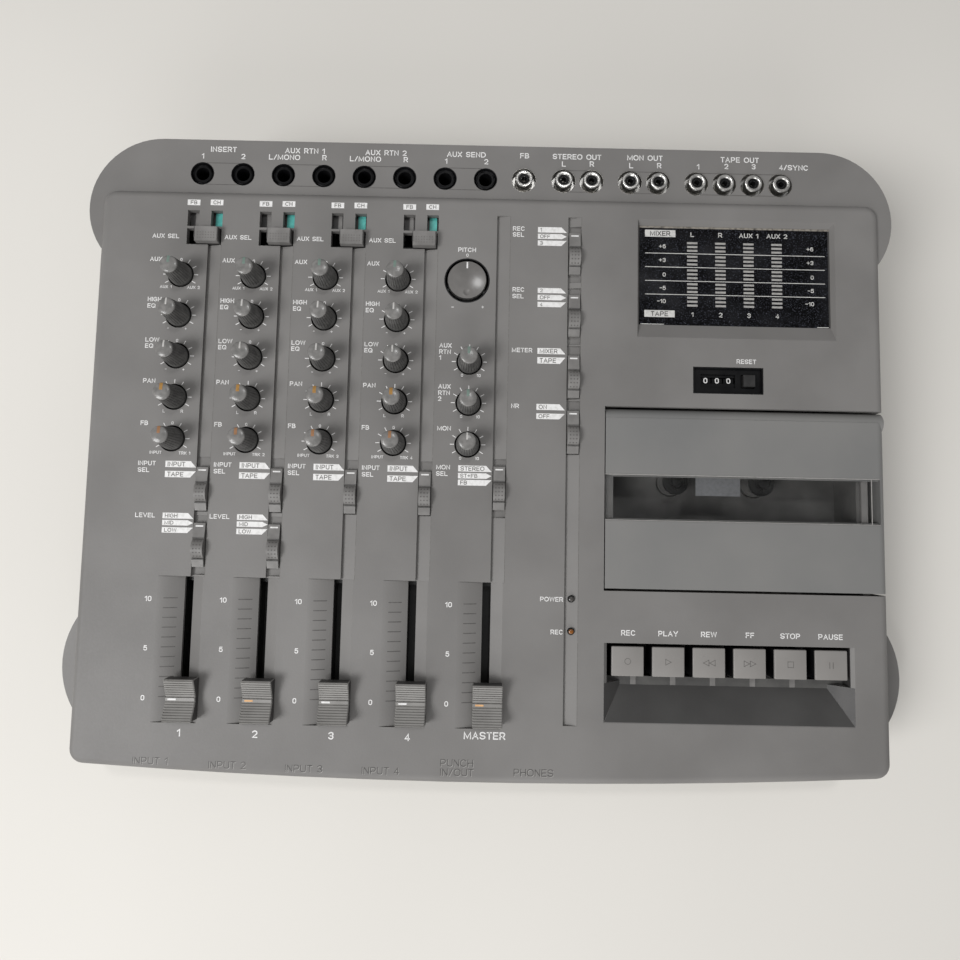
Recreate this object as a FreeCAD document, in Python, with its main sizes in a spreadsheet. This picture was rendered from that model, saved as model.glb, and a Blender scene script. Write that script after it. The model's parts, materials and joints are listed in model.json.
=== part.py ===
import FreeCAD, Part
import Sketcher
import os
import re

V = FreeCAD.Vector

# Every length is in millimetres and every angle in degrees.
# The panel frame has its origin in the middle of the top panel's face: X to the right, Y to the
# rear, Z out of the face. The case frame stands on the table, and the panel slopes in it.
SIZES = {
    # case
    "case_slope": 4.5,
    "panel_height": 62.0,
    "panel_shift": -0.15,
    "panel_rear": 126.3,
    "panel_front": 147.9,
    "front_bow": 5.6,
    "panel_corner": 7.0,
    "panel_edge_round": 4.0,
    "panel_skin": 3.0,
    "rim_wall": 3.0,
    "rim_gap": 4.4,
    "rim_depth": 22.0,
    "case_wall": 3.0,
    "case_floor": 3.0,
    "foot_height": 5.0,
    "foot_radius": 9.0,
    "foot_inset": 30.0,
    "front_lip": 6.1,
    "deck_drop": 3.0,
    "deck_depth": 26.9,
    "deck_lap": 6.7,
    "deck_end_inset": 28.1,
    "deck_end_radius": 35.3,
    "lobe_inset": 22.4,
    "lobe_y": 105.0,
    "lobe_radius": 43.0,
    "lobe_drop": 27.0,
    "seam_gap": 0.3,
    "moving_gap": 0.5,
    "field_margin": 10.0,
    # rotary controls
    "strip_pitch": 35.1,
    "strip_x": -149.6,
    "row_rear": 83.6,
    "row_pitch": 20.0,
    "master_x": -8.9,
    "pitch_x": -10.9,
    "knob_radius": 6.2,
    "knob_top_radius": 4.2,
    "knob_height": 13.6,
    "knob_skirt": 1.4,
    "knob_sink": 2.2,
    "knob_waist": 0.9,
    "knob_waist_height": 0.8,
    "knob_bevel": 0.5,
    "pointer_width": 0.8,
    "pointer_length": 3.0,
    "pointer_depth": 0.3,
    "stem_radius": 2.1,
    "stem_length": 10.0,
    "stem_gap": 0.3,
    "pitch_radius": 10.2,
    "pitch_height": 6.0,
    "pitch_bevel": 0.6,
    "pitch_pointer": 4.0,
    "dimple_radius": 3.1,
    "dimple_depth": 1.1,
    "pot_width": 10.0,
    "pot_floor": 1.0,
    "pot_height": 6.5,
    # circuit board
    "board_depth": 13.4,
    "board_thickness": 1.6,
    "board_gap": 4.0,
    "post_radius": 3.5,
    "post_rear": 98.0,
    # channel grooves
    "groove_offset": 1.6,
    "groove_depth": 1.6,
    "groove_width": 6.6,
    "side_groove_x": 37.9,
    "side_groove_front": -126.2,
    # slide switches
    "slider_width": 5.4,
    "slider_length": 20.5,
    "slider_top": 0.5,
    "slider_hump": 3.3,
    "slider_hump_length": 10.0,
    "slider_hump_shift": -1.7,
    "slider_foot": 1.3,
    "slider_stem": 2.4,
    "slider_stem_length": 8.5,
    "slider_pocket": 1.8,
    "two_step_travel": 4.5,
    "three_step_travel": 6.5,
    "input_slider_y": -20.1,
    "level_slider_y": -46.5,
    "monitor_slider_y": -17.0,
    "record_slider_y": 97.8,
    "record_slider_pitch": 30.7,
    "meter_slider_y": 37.3,
    "noise_slider_y": 10.5,
    "switch_body_height": 6.0,
    # auxiliary select sliders
    "aux_slot_left": -147.7,
    "aux_slot_y": 102.8,
    "aux_slot_depth": 8.0,
    "aux_cap_width": 11.6,
    "aux_cap_depth": 7.0,
    "aux_cap_height": 3.2,
    "aux_cap_slope": 2.0,
    "aux_rail_depth": 2.0,
    "aux_rail_thickness": 1.2,
    "aux_travel": 4.2,
    "flag_window_pitch": 11.4,
    "flag_window_width": 5.6,
    "flag_window_length": 8.0,
    "flag_window_y": 111.9,
    "flag_width": 2.6,
    # faders
    "fader_x": -138.8,
    "fader_slot_width": 4.0,
    "fader_end_gap": 1.8,
    "fader_rest_y": -116.7,
    "fader_travel": 45.2,
    "scoop_left": 11.5,
    "scoop_right": 5.5,
    "scoop_depth": 3.0,
    "cap_offset": 1.3,
    "cap_width": 13.8,
    "cap_length": 19.0,
    "cap_end_height": 7.0,
    "cap_end_lean": 0.4,
    "cap_ridge_height": 4.0,
    "cap_ridge": 2.2,
    "cap_ridge_step": 0.6,
    "cap_lift": 0.7,
    "cap_groove": 0.7,
    "cap_groove_pitch": 1.45,
    "cap_groove_depth": 0.5,
    "fader_stem_width": 1.8,
    "fader_stem_length": 6.0,
    "fader_stem_gap": 3.0,
    "fader_body_width": 9.0,
    "fader_body_height": 7.0,
    # level meter
    "meter_x": 119.8,
    "meter_front": 57.6,
    "meter_width": 96.0,
    "glass_side_gap": 1.3,
    "glass_rear_gap": 2.2,
    "glass_ramp": 6.9,
    "glass_sink": 2.6,
    "glass_thickness": 1.8,
    "glass_ledge": 1.6,
    "bar_offset": 21.5,
    "bar_pitch": 13.77,
    "bar_width": 5.1,
    "bar_rear": 105.2,
    "bar_front": 72.8,
    "bar_height": 1.6,
    # tape counter
    "counter_x": 115.5,
    "counter_y": 37.1,
    "counter_width": 33.8,
    "counter_length": 13.0,
    "counter_sink": 1.6,
    "counter_face": 0.8,
    "digit_window": 6.4,
    "wheel_offset": 10.0,
    "wheel_pitch": 5.55,
    "wheel_width": 4.9,
    "wheel_radius": 4.8,
    "wheel_sink": 7.8,
    "reset_offset": 9.9,
    "reset_size": 5.6,
    "reset_height": 2.0,
    "reset_depth": 3.0,
    "reset_travel": 1.8,
    # cassette door
    "door_lap": 2.2,
    "door_rear": 23.6,
    "door_front": -64.0,
    "door_gap": 0.5,
    "door_skin": 2.5,
    "hinge_radius": 5.0,
    "hinge_pin_radius": 1.2,
    "hinge_pin_gap": 0.05,
    "hinge_eye_radius": 2.4,
    "hinge_eye_length": 3.5,
    "window_rear": -8.7,
    "window_front": -31.0,
    "window_thickness": 1.6,
    "window_sink": 0.3,
    "window_ledge": 1.2,
    "window_post": 4.0,
    # cassette well
    "well_left_margin": 1.7,
    "well_right_margin": 9.75,
    "well_front": -62.0,
    "well_rear": 22.0,
    "well_floor": 24.0,
    "well_wall": 1.8,
    "spindle_x": 94.0,
    "spindle_pitch": 42.5,
    "spindle_y": -11.0,
    "spindle_radius": 3.4,
    "spindle_top": 14.5,
    "spindle_flange": 6.4,
    "fin_reach": 4.6,
    "fin_width": 1.4,
    "flange_thickness": 1.5,
    "spindle_tip": 2.0,
    "spindle_hole_gap": 0.6,
    # transport keys
    "key_left": 60.3,
    "key_pitch": 18.95,
    "key_width": 14.9,
    "key_rear": -89.5,
    "key_front": -103.0,
    "key_top": 0.3,
    "key_depth": 12.0,
    "key_lever": 4.0,
    "key_lever_thickness": 3.0,
    "key_pivot_y": -73.0,
    "key_pivot_depth": 14.5,
    "key_shaft_radius": 1.5,
    "key_shaft_gap": 0.05,
    "key_hub_radius": 3.2,
    "key_bevel": 0.6,
    "key_margin": 3.6,
    "key_rear_margin": 1.5,
    "key_scoop_reach": 17.9,
    "key_scoop_depth": 9.0,
    "key_scoop_side": 10.0,
    # sockets
    "phone_x": -143.0,
    "phone_pitch": 20.0,
    "socket_inset": 9.9,
    "phone_hole_radius": 5.8,
    "phone_bore_radius": 3.25,
    "phone_body": 15.0,
    "phone_length": 25.0,
    "phone_bore_depth": 22.0,
    "phone_bush_radius": 4.9,
    "phone_bush_sink": 0.6,
    "front_socket_x": -151.0,
    "front_socket_z": 16.8,
    "phono_hole_radius": 6.0,
    "phono_barrel_radius": 4.15,
    "phono_bore_radius": 1.6,
    "phono_barrel_length": 4.0,
    "phono_body": 12.0,
    "phono_body_height": 10.0,
    "phono_single_x": 16.0,
    "phono_stereo_x": 35.6,
    "phono_monitor_x": 68.5,
    "phono_tape_x": 101.3,
    "phono_pitch": 13.85,
    "inlet_x": 150.0,
    "inlet_z": 30.0,
    "inlet_radius": 5.0,
    "inlet_bore_radius": 3.0,
    "inlet_pin_radius": 1.0,
    "inlet_length": 12.0,
    # tape transport
    "plate_thickness": 1.5,
    "plate_gap": 2.7,
    "capstan_offset": 34.0,
    "flywheel_radius": 24.0,
    "flywheel_height": 5.0,
    "motor_offset": 4.0,
    "motor_radius": 13.0,
    "motor_height": 15.0,
    "capstan_radius": 1.2,
    "capstan_y": -42.5,
    "head_y": -51.0,
    "head_width": 13.0,
    "head_depth": 8.0,
    "head_height": 9.0,
    "roller_radius": 5.2,
    "roller_height": 7.0,
    "roller_gap": 1.2,
    "bracket_thickness": 1.5,
    # lamps
    "lamp_x": 41.2,
    "power_lamp_y": -68.1,
    "record_lamp_y": -83.1,
    "lamp_radius": 1.4,
    "lamp_rise": 0.6,
}

# Sizes and places that follow from those above.
FOLLOWING = {
    "keys_right": "key_left + 5 * key_pitch + key_width",
    "well_left": "key_left - well_left_margin",
    "well_right": "keys_right + well_right_margin",
    "well_key_left": "key_left - key_margin",
    "well_key_right": "keys_right + key_margin",
    "well_key_rear": "key_rear + key_rear_margin",
    "key_slot_front": "key_front - key_margin",
    "well_key_front": "key_slot_front - key_scoop_reach",
    "door_left": "well_left - door_lap",
    "base_width": "2 * (well_right + seam_gap + case_wall)",
    "panel_width": "base_width + 2 * (rim_gap + rim_wall)",
    "base_front": "panel_front - front_lip",
    "deck_reach": "panel_rear + deck_depth",
    "deck_front": "panel_rear - deck_lap",
    "deck_end_x": "panel_width / 2 - deck_end_inset",
    "deck_end_y": "deck_reach - deck_end_radius",
    "socket_y": "panel_rear + socket_inset",
    "lobe_x": "panel_width / 2 - lobe_inset",
    "foot_x": "base_width / 2 - foot_inset",
    "foot_front": "base_front - foot_inset",
    "foot_rear": "deck_reach - foot_inset",
    "board_left": "board_gap + case_wall - base_width / 2",
    "board_right": "well_key_left - rim_wall - board_gap",
    "board_front": "board_gap + case_wall - base_front",
    "board_rear": "panel_rear - field_margin",
    "groove_x": "fader_x + groove_offset",
    "groove_rear": "aux_slot_y - aux_slot_depth / 2",
    "master_groove_x": "groove_x + 4 * strip_pitch",
    "master_groove_rear": "panel_rear - field_margin",
    "meter_rear": "panel_rear - field_margin",
    "glass_width": "meter_width - 2 * glass_side_gap",
    "glass_rear": "meter_rear - glass_rear_gap",
    "glass_front": "meter_front + glass_ramp",
    "bar_x": "meter_x - bar_offset",
    "wheel_x": "counter_x - wheel_offset",
    "reset_x": "counter_x + reset_offset",
    "plate_depth": "well_floor + well_wall + plate_gap",
    "flywheel_x": "spindle_x + capstan_offset",
    "motor_x": "spindle_x - motor_offset",
    "hinge_line": "door_rear - hinge_radius - door_gap",
    "hinge_height": "-hinge_radius - door_gap / 2",
}

doc = FreeCAD.newDocument("FourTrackRecorder")
sheet = doc.addObject("Spreadsheet::Sheet", "Sizes")
for row, (alias, number) in enumerate(SIZES.items(), start=1):
    sheet.set(f"A{row}", alias)
    sheet.set(f"B{row}", str(number))
    sheet.setAlias(f"B{row}", alias)
doc.recompute()

ALIAS = re.compile(r"[a-z]+(?:_[a-z]+)+")
made = {}


def spelled_out(text):
    """An expression in which each following size is replaced by what it follows from."""
    def replacement(found):
        name = found.group(0)
        return f"({spelled_out(FOLLOWING[name])})" if name in FOLLOWING else name
    return ALIAS.sub(replacement, str(text))


def bound(text):
    """Put the sheet's name before each alias of an expression."""
    return ALIAS.sub(lambda found: "Sizes." + found.group(0), spelled_out(text))


def value(text):
    """The number that an expression of aliases stands for."""
    return float(sheet.evalExpression(spelled_out(text)))


def bind(thing, **properties):
    """Bind properties, such as Length or Placement__Base__x, to expressions of aliases."""
    for name, text in properties.items():
        thing.setExpression(name.replace("__", "."), bound(text))
    return thing


def place(thing, x=0, y=0, z=0):
    return bind(thing, Placement__Base__x=x, Placement__Base__y=y, Placement__Base__z=z)


def box(x, y, z, length, width, height):
    """A box from its low corner."""
    solid = doc.addObject("Part::Box", "Block")
    bind(solid, Length=length, Width=width, Height=height)
    return place(solid, x, y, z)


def centred_box(x, y, z, length, width, height):
    """A box that stands on the middle of its foot."""
    return box(f"{x} - ({length}) / 2", f"{y} - ({width}) / 2", z, length, width, height)


def cylinder(x, y, z, radius, height):
    solid = doc.addObject("Part::Cylinder", "Round")
    bind(solid, Radius=radius, Height=height)
    return place(solid, x, y, z)


def lying_cylinder(x, y, z, radius, length):
    """A cylinder along +X from its end's centre."""
    solid = cylinder(x, y, z, radius, length)
    solid.Placement.Rotation = FreeCAD.Rotation(V(0, 1, 0), 90)
    return solid


def ring(radius, height, sides):
    """A level regular polygon about the z axis."""
    outline = doc.addObject("Part::RegularPolygon", "Ring")
    outline.Polygon = sides
    bind(outline, Circumradius=radius)
    return place(outline, z=height)


def faceted(sides, *rings):
    """A solid through level polygons, each given by its radius and height."""
    solid = doc.addObject("Part::Loft", "Faceted")
    solid.Sections = [ring(radius, height, sides) for radius, height in rings]
    solid.Solid = True
    solid.Ruled = True
    return solid


def fuse(*solids):
    if len(solids) == 1:
        return solids[0]
    joined = doc.addObject("Part::MultiFuse", "Joined")
    joined.Shapes = list(solids)
    return joined


def cut(base, *tools):
    carved = doc.addObject("Part::Cut", "Carved")
    carved.Base = base
    carved.Tool = fuse(*tools)
    return carved


def common(first, second):
    overlap = doc.addObject("Part::Common", "Kept")
    overlap.Base = first
    overlap.Tool = second
    return overlap


def group(*solids):
    """Separate solids that share one node."""
    together = doc.addObject("Part::Compound", "Group")
    together.Links = list(solids)
    return together


def profile(body, plane, points, arcs=()):
    """A closed sketch through points given as expressions.

    arcs maps a side's number to its radius and the sign of its bulge."""
    sketch = body.newObject("Sketcher::SketchObject", "Profile")
    base = [item for item in body.Origin.OriginFeatures if item.Role == plane][0]
    sketch.AttachmentSupport = (base, [""])
    sketch.MapMode = "FlatFace"
    corners = [V(value(x), value(y), 0) for x, y in points]
    bulges = dict(arcs)
    for number, start in enumerate(corners):
        end = corners[(number + 1) % len(corners)]
        if number in bulges:
            middle = arc_middle(start, end, value(bulges[number][0]), bulges[number][1])
            sketch.addGeometry(Part.Arc(start, middle, end), False)
        else:
            sketch.addGeometry(Part.LineSegment(start, end), False)
    ends = arc_ends(sketch, corners)
    for number in range(len(corners)):
        following = (number + 1) % len(corners)
        sketch.addConstraint(Sketcher.Constraint(
            "Coincident", number, ends[number][1], following, ends[following][0]))
    for number, (x, y) in enumerate(points):
        for kind, text in (("DistanceX", x), ("DistanceY", y)):
            index = sketch.addConstraint(Sketcher.Constraint(
                kind, -1, 1, number, ends[number][0], value(text)))
            sketch.setExpression(f"Constraints[{index}]", bound(text))
    for number, (radius, _) in bulges.items():
        index = sketch.addConstraint(Sketcher.Constraint("Radius", number, value(radius)))
        sketch.setExpression(f"Constraints[{index}]", bound(radius))
    return sketch


def arc_middle(start, end, radius, side):
    """The middle of an arc that bulges to the right of start-to-end when side is 1."""
    chord = end - start
    half = chord.Length / 2
    rise = radius - (radius * radius - half * half) ** 0.5
    across = V(chord.y, -chord.x, 0).normalize()
    return (start + end) / 2 + across * rise * side


def arc_ends(sketch, corners):
    """For each side, which end of its geometry (1 or 2) is its start and which its end."""
    ends = []
    for number, corner in enumerate(corners):
        geometry = sketch.Geometry[number]
        starts_here = (geometry.StartPoint - corner).Length < 1e-6
        ends.append((1, 2) if starts_here else (2, 1))
    return ends


def pad(body, sketch, length, reverse=False, midplane=False):
    feature = body.newObject("PartDesign::Pad", "Pad")
    feature.Profile = sketch
    feature.Reversed = reverse
    feature.Midplane = midplane
    return bind(feature, Length=length)


def revolve(body, sketch):
    feature = body.newObject("PartDesign::Revolution", "Turned")
    feature.Profile = sketch
    feature.ReferenceAxis = (sketch, ["V_Axis"])
    feature.Angle = 360
    return feature


def round_edges(body, feature, radius, wanted):
    """A fillet on the edges of feature for which wanted(edge) is true."""
    doc.recompute()
    names = [f"Edge{number}" for number, edge in enumerate(feature.Shape.Edges, start=1)
             if wanted(edge)]
    rounding = body.newObject("PartDesign::Fillet", "Rounded")
    rounding.Base = (feature, names)
    return bind(rounding, Radius=radius)


def upright(edge):
    box_of_edge = edge.BoundBox
    return box_of_edge.ZLength > 0.5 and box_of_edge.XLength < 0.01 and box_of_edge.YLength < 0.01


def level_at(height):
    def wanted(edge):
        return abs(edge.BoundBox.ZMin - height) < 0.01 and abs(edge.BoundBox.ZMax - height) < 0.01
    return wanted


def node(name, thing):
    """Give a finished sub-part its name and its own object."""
    thing.Label = name
    made[name] = thing
    return thing


def on_panel(thing):
    """Carry a thing from the panel frame into the case frame."""
    thing.Placement = FreeCAD.Placement(V(0, 0, 0), FreeCAD.Rotation(V(1, 0, 0), 1))
    return bind(thing, Placement__Base__y="panel_shift", Placement__Base__z="panel_height",
                Placement__Rotation__Angle="case_slope")


def copy_of(form, x, y, z=0):
    """A copy of a form at a place of the panel."""
    shifted = doc.addObject("Part::Compound", "Copy")
    shifted.Links = [form]
    return place(shifted, x, y, z)


def panel_node(name, thing):
    """A node of one thing that is given in the panel frame."""
    return node(name, on_panel(group(thing)))


def strip_at(channel, offset="strip_x"):
    return f"{offset} + {channel} * strip_pitch"


def row_at(row):
    return f"row_rear - {row} * row_pitch"


# Sub-part: upper case, the moulded top panel with its rim.

def panel_outline(body, inset, plane_x="panel_width / 2"):
    edge = f"{plane_x} - {inset}"
    front = f"-panel_front + {inset}"
    rear = f"panel_rear - {inset}"
    radius = f"(({edge}) ^ 2 + front_bow ^ 2) / (2 * front_bow)"
    points = [(edge, rear), (f"-({edge})", rear), (f"-({edge})", front), (edge, front)]
    return profile(body, "XY_Plane", points, {2: (radius, 1)})


def slab():
    body = doc.addObject("PartDesign::Body", "PanelSlab")
    plate = pad(body, panel_outline(body, "0"), "rim_depth", reverse=True)
    corners = round_edges(body, plate, "panel_corner", upright)
    round_edges(body, corners, "panel_edge_round", level_at(0))
    return body


def slab_hollow():
    body = doc.addObject("PartDesign::Body", "PanelHollow")
    pad(body, panel_outline(body, "rim_wall"), "rim_depth", reverse=True)
    return place(body, z="-panel_skin")


def wedge(left, right, front, rear, depth, left_in, right_in, front_in, rear_in):
    """A sunk hollow whose walls lean in by the given amounts, with its mouth at the face."""
    solid = doc.addObject("Part::Wedge", "Sunk")
    solid.Placement = FreeCAD.Placement(V(0, 0, 0), FreeCAD.Rotation(V(1, 0, 0), -90))
    bind(solid, Xmin=left, Xmax=right, Zmin=front, Zmax=rear, Ymin="0", Ymax=depth,
         X2min=f"{left} + ({left_in})", X2max=f"{right} - ({right_in})",
         Z2min=f"{front} + ({front_in})", Z2max=f"{rear} - ({rear_in})")
    return solid


# A fader's slot is as long as its cap and its travel need.
SLOT_REAR = "(fader_rest_y + fader_travel + cap_length / 2 + moving_gap)"
SLOT_FRONT = "(fader_rest_y - cap_length / 2 - fader_end_gap)"
SLOT_LENGTH = f"({SLOT_REAR} - {SLOT_FRONT})"
SLOT_MIDDLE = f"(({SLOT_REAR} + {SLOT_FRONT}) / 2)"


def fader_at(number):
    return f"fader_x + {number} * strip_pitch"


def scoop(number):
    """The leaning trough that a fader cap runs in."""
    middle = fader_at(number)
    return wedge(f"{middle} - fader_slot_width / 2 - scoop_left",
                 f"{middle} + fader_slot_width / 2 + scoop_right",
                 f"{SLOT_FRONT} - seam_gap", f"{SLOT_REAR} + seam_gap", "scoop_depth",
                 "scoop_left", "scoop_right", "0", "0")


def scoop_tray(number):
    middle = fader_at(number)
    return box(f"{middle} - fader_slot_width / 2 - scoop_left - 1",
               f"{SLOT_FRONT} - panel_skin", "-scoop_depth - rim_wall / 2",
               "fader_slot_width + scoop_left + scoop_right + 2",
               f"{SLOT_LENGTH} + 2 * panel_skin",
               "scoop_depth + rim_wall / 2 - panel_skin / 2")


def fader_slot(number):
    return centred_box(fader_at(number), SLOT_MIDDLE, "-2 * rim_depth", "fader_slot_width",
                       SLOT_LENGTH, "2 * rim_depth")


def groove(left, front, rear):
    """A channel with an upright left wall and a floor that climbs to the right."""
    return wedge(left, f"{left} + groove_width", front, rear, "groove_depth",
                 "0", "groove_width - 0.1", "0", "0")


def slider_pocket(x, y, travel):
    length = f"slider_length + {travel} + 2 * moving_gap"
    pocket = centred_box(x, f"{y} + {travel} / 2", "-slider_pocket",
                         "slider_width + 2 * moving_gap", length, "slider_pocket + panel_skin")
    slot = centred_box(x, f"{y} + {travel} / 2", "-2 * panel_skin",
                       "slider_stem + 2 * moving_gap",
                       f"slider_stem + {travel} + 2 * moving_gap", "2 * panel_skin")
    return fuse(pocket, slot)


INPUT_X = "groove_x + moving_gap + slider_width / 2"
MONITOR_X = "master_groove_x + moving_gap + slider_width / 2"
SIDE_X = "side_groove_x + moving_gap + slider_width / 2"

# Each family of slide switches: places of its caps at rest, travel, and name.
SLIDERS = {
    "input_select_sliders": ([(f"{INPUT_X} + {n} * strip_pitch", "input_slider_y")
                              for n in range(4)], "two_step_travel"),
    "level_select_sliders": ([(f"{INPUT_X} + {n} * strip_pitch", "level_slider_y - three_step_travel / 2")
                              for n in range(2)], "three_step_travel"),
    "monitor_select_slider": ([(MONITOR_X, "monitor_slider_y - three_step_travel / 2")],
                              "three_step_travel"),
    "record_select_sliders": ([(SIDE_X, f"record_slider_y - {n} * record_slider_pitch"
                                        " - three_step_travel / 2") for n in range(2)],
                              "three_step_travel"),
    "meter_select_slider": ([(SIDE_X, "meter_slider_y")], "two_step_travel"),
    "noise_reduction_slider": ([(SIDE_X, "noise_slider_y")], "two_step_travel"),
}
# Three-step sliders rest in their middle step.
REST_SHIFT = {"three_step_travel": "three_step_travel / 2", "two_step_travel": "0"}

# The low ends of the two eyes that carry the door.
HINGE_EYES = ("well_left + well_wall", "well_right - well_wall - hinge_eye_length - 2")

CHANNEL_ROWS = ("aux", "high_eq", "low_eq", "pan", "foldback")
MASTER_KNOBS = {"aux_return_1_knob": 2, "aux_return_2_knob": 3, "monitor_knob": 4}


def knob_places():
    """Name, x and y of every small knob."""
    places = []
    for row, name in enumerate(CHANNEL_ROWS):
        for channel in range(4):
            places.append((f"{name}_knob_{channel + 1}", strip_at(channel), row_at(row)))
    for name, row in MASTER_KNOBS.items():
        places.append((name, "master_x", row_at(row)))
    return places


def through_hole(x, y, radius):
    return cylinder(x, y, "-rim_depth", radius, "2 * rim_depth")


AUX_SLOT_WIDTH = "(aux_cap_width + aux_travel + 2 * moving_gap)"


def aux_windows(channel):
    """The slot of an auxiliary select slider and the two windows above it."""
    step = f"{channel} * strip_pitch"
    openings = [box(f"aux_slot_left + {step}", "aux_slot_y - aux_slot_depth / 2", "-rim_depth",
                    AUX_SLOT_WIDTH, "aux_slot_depth", "2 * rim_depth")]
    for window in range(2):
        openings.append(box(f"aux_slot_left + {step} + {window} * flag_window_pitch",
                            "flag_window_y - flag_window_length / 2", "-rim_depth",
                            "flag_window_width", "flag_window_length", "2 * rim_depth"))
    return openings


def meter_bay():
    """The tray under the level meter, and what is cut from it."""
    left = "meter_x - meter_width / 2"
    right = "meter_x + meter_width / 2"
    tray = box(f"{left} - rim_wall / 2", "meter_front - rim_wall / 2",
               "-glass_sink - glass_thickness - glass_ledge",
               "meter_width + rim_wall", "meter_rear - meter_front + rim_wall",
               "glass_sink + glass_thickness + glass_ledge - panel_skin / 2")
    side = "(meter_width - glass_width) / 2"
    ramp = wedge(left, right, "meter_front", "meter_rear", "glass_sink", side, side,
                 "glass_front - meter_front", "meter_rear - glass_rear")
    seat = box("meter_x - glass_width / 2", "glass_front", "-glass_sink - glass_thickness",
               "glass_width", "glass_rear - glass_front", "glass_thickness + glass_sink / 2")
    light = box("meter_x - glass_width / 2 + glass_ledge", "glass_front + glass_ledge", "-rim_depth",
                "glass_width - 2 * glass_ledge", "glass_rear - glass_front - 2 * glass_ledge",
                "rim_depth")
    return tray, [ramp, seat, light]


def key_bay():
    """The tray under the finger recess of the keys, and what is cut from it."""
    tray = box("well_key_left - rim_wall", "well_key_front - rim_wall",
               "-key_scoop_depth - rim_wall / 2",
               "well_key_right - well_key_left + 2 * rim_wall",
               "well_key_rear - well_key_front + 2 * rim_wall",
               "key_scoop_depth + rim_wall / 2 - panel_skin / 2")
    recess = wedge("well_key_left", "well_key_right", "well_key_front", "well_key_rear",
                   "key_scoop_depth", "key_scoop_side", "key_scoop_side",
                   "key_slot_front - well_key_front", "0")
    slot = box("well_key_left + rim_wall / 2", "key_slot_front", "-rim_depth",
               "well_key_right - well_key_left - rim_wall", "well_key_rear - key_slot_front",
               "2 * rim_depth")
    return tray, [recess, slot]


def door_opening():
    return box("door_left", "door_front", "-2 * rim_depth", "panel_width",
               "door_rear - door_front", "4 * rim_depth")


def deck_relief():
    """The room that the rim leaves for the socket deck."""
    depth = "rim_depth * 2"
    top = f"-deck_drop - {depth}"
    reach = "deck_end_radius + seam_gap + rim_depth * sin(case_slope)"
    ends = [cylinder(f"{side} * deck_end_x", "deck_end_y", top, reach, depth) for side in (-1, 1)]
    strip = box("-panel_width", "deck_front - seam_gap", top, "2 * panel_width", "deck_reach", depth)
    return [strip] + ends


def board_posts():
    """Posts under the panel that carry the circuit board."""
    posts = []
    for x in ("board_left + 2 * post_radius", "groove_x + 1.5 * strip_pitch - post_radius",
              "master_groove_x + 4 * post_radius"):
        for y in ("board_front + 2 * post_radius", "post_rear"):
            posts.append(cylinder(x, y, "-board_depth", "post_radius",
                                  "board_depth - panel_skin / 2"))
    return posts


def upper_case(blank):
    shell = cut(blank, slab_hollow())
    meter_tray, meter_cuts = meter_bay()
    key_tray, key_cuts = key_bay()
    trays = [scoop_tray(number) for number in range(5)] + [meter_tray, key_tray] + board_posts()
    shell = fuse(shell, *trays)
    troughs = [scoop(number) for number in range(5)]
    troughs += [groove(f"groove_x + {n} * strip_pitch", SLOT_REAR, "groove_rear")
                for n in range(4)]
    troughs += [groove("master_groove_x", SLOT_REAR, "master_groove_rear"),
                groove("side_groove_x", "side_groove_front", "master_groove_rear")]
    shell = cut(shell, *troughs)
    pockets = [slider_pocket(x, y, travel) for places, travel in SLIDERS.values()
               for x, y in places]
    shell = cut(shell, *pockets)
    holes = [through_hole(x, y, "knob_radius + moving_gap") for _, x, y in knob_places()]
    holes.append(through_hole("pitch_x", row_at(0), "pitch_radius + moving_gap"))
    holes += [through_hole("lamp_x", y, "lamp_radius + 0.2") for y in ("power_lamp_y", "record_lamp_y")]
    for channel in range(4):
        holes += aux_windows(channel)
    holes += [fader_slot(number) for number in range(5)]
    shell = cut(shell, *holes)
    counter = centred_box("counter_x", "counter_y", "-rim_depth", "counter_width",
                          "counter_length", "2 * rim_depth")
    shell = cut(shell, *meter_cuts, *key_cuts, door_opening(), counter)
    shell = cut(shell, *deck_relief())
    panel_node("upper_case", shell)


# Sub-part: lower case, with the socket deck behind and a round lobe on each side.

def above_panel(drop):
    """Everything above a plane that lies parallel to the panel, drop below its face."""
    slab_above = box("-panel_width", "-panel_width", f"-({drop})",
                     "2 * panel_width", "2 * panel_width", "panel_width")
    return on_panel(group(slab_above))


def lobes(radius):
    return [cylinder(f"{side} * lobe_x", "-lobe_y", "foot_height", radius, "panel_height")
            for side in (-1, 1)]


def deck_block():
    height = "2 * panel_height"
    ends = [cylinder(f"{side} * deck_end_x", "deck_end_y", "foot_height", "deck_end_radius", height)
            for side in (-1, 1)]
    strip = box("-deck_end_x", "deck_front", "foot_height", "2 * deck_end_x",
                "deck_reach - deck_front", height)
    return fuse(strip, *ends)


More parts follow.
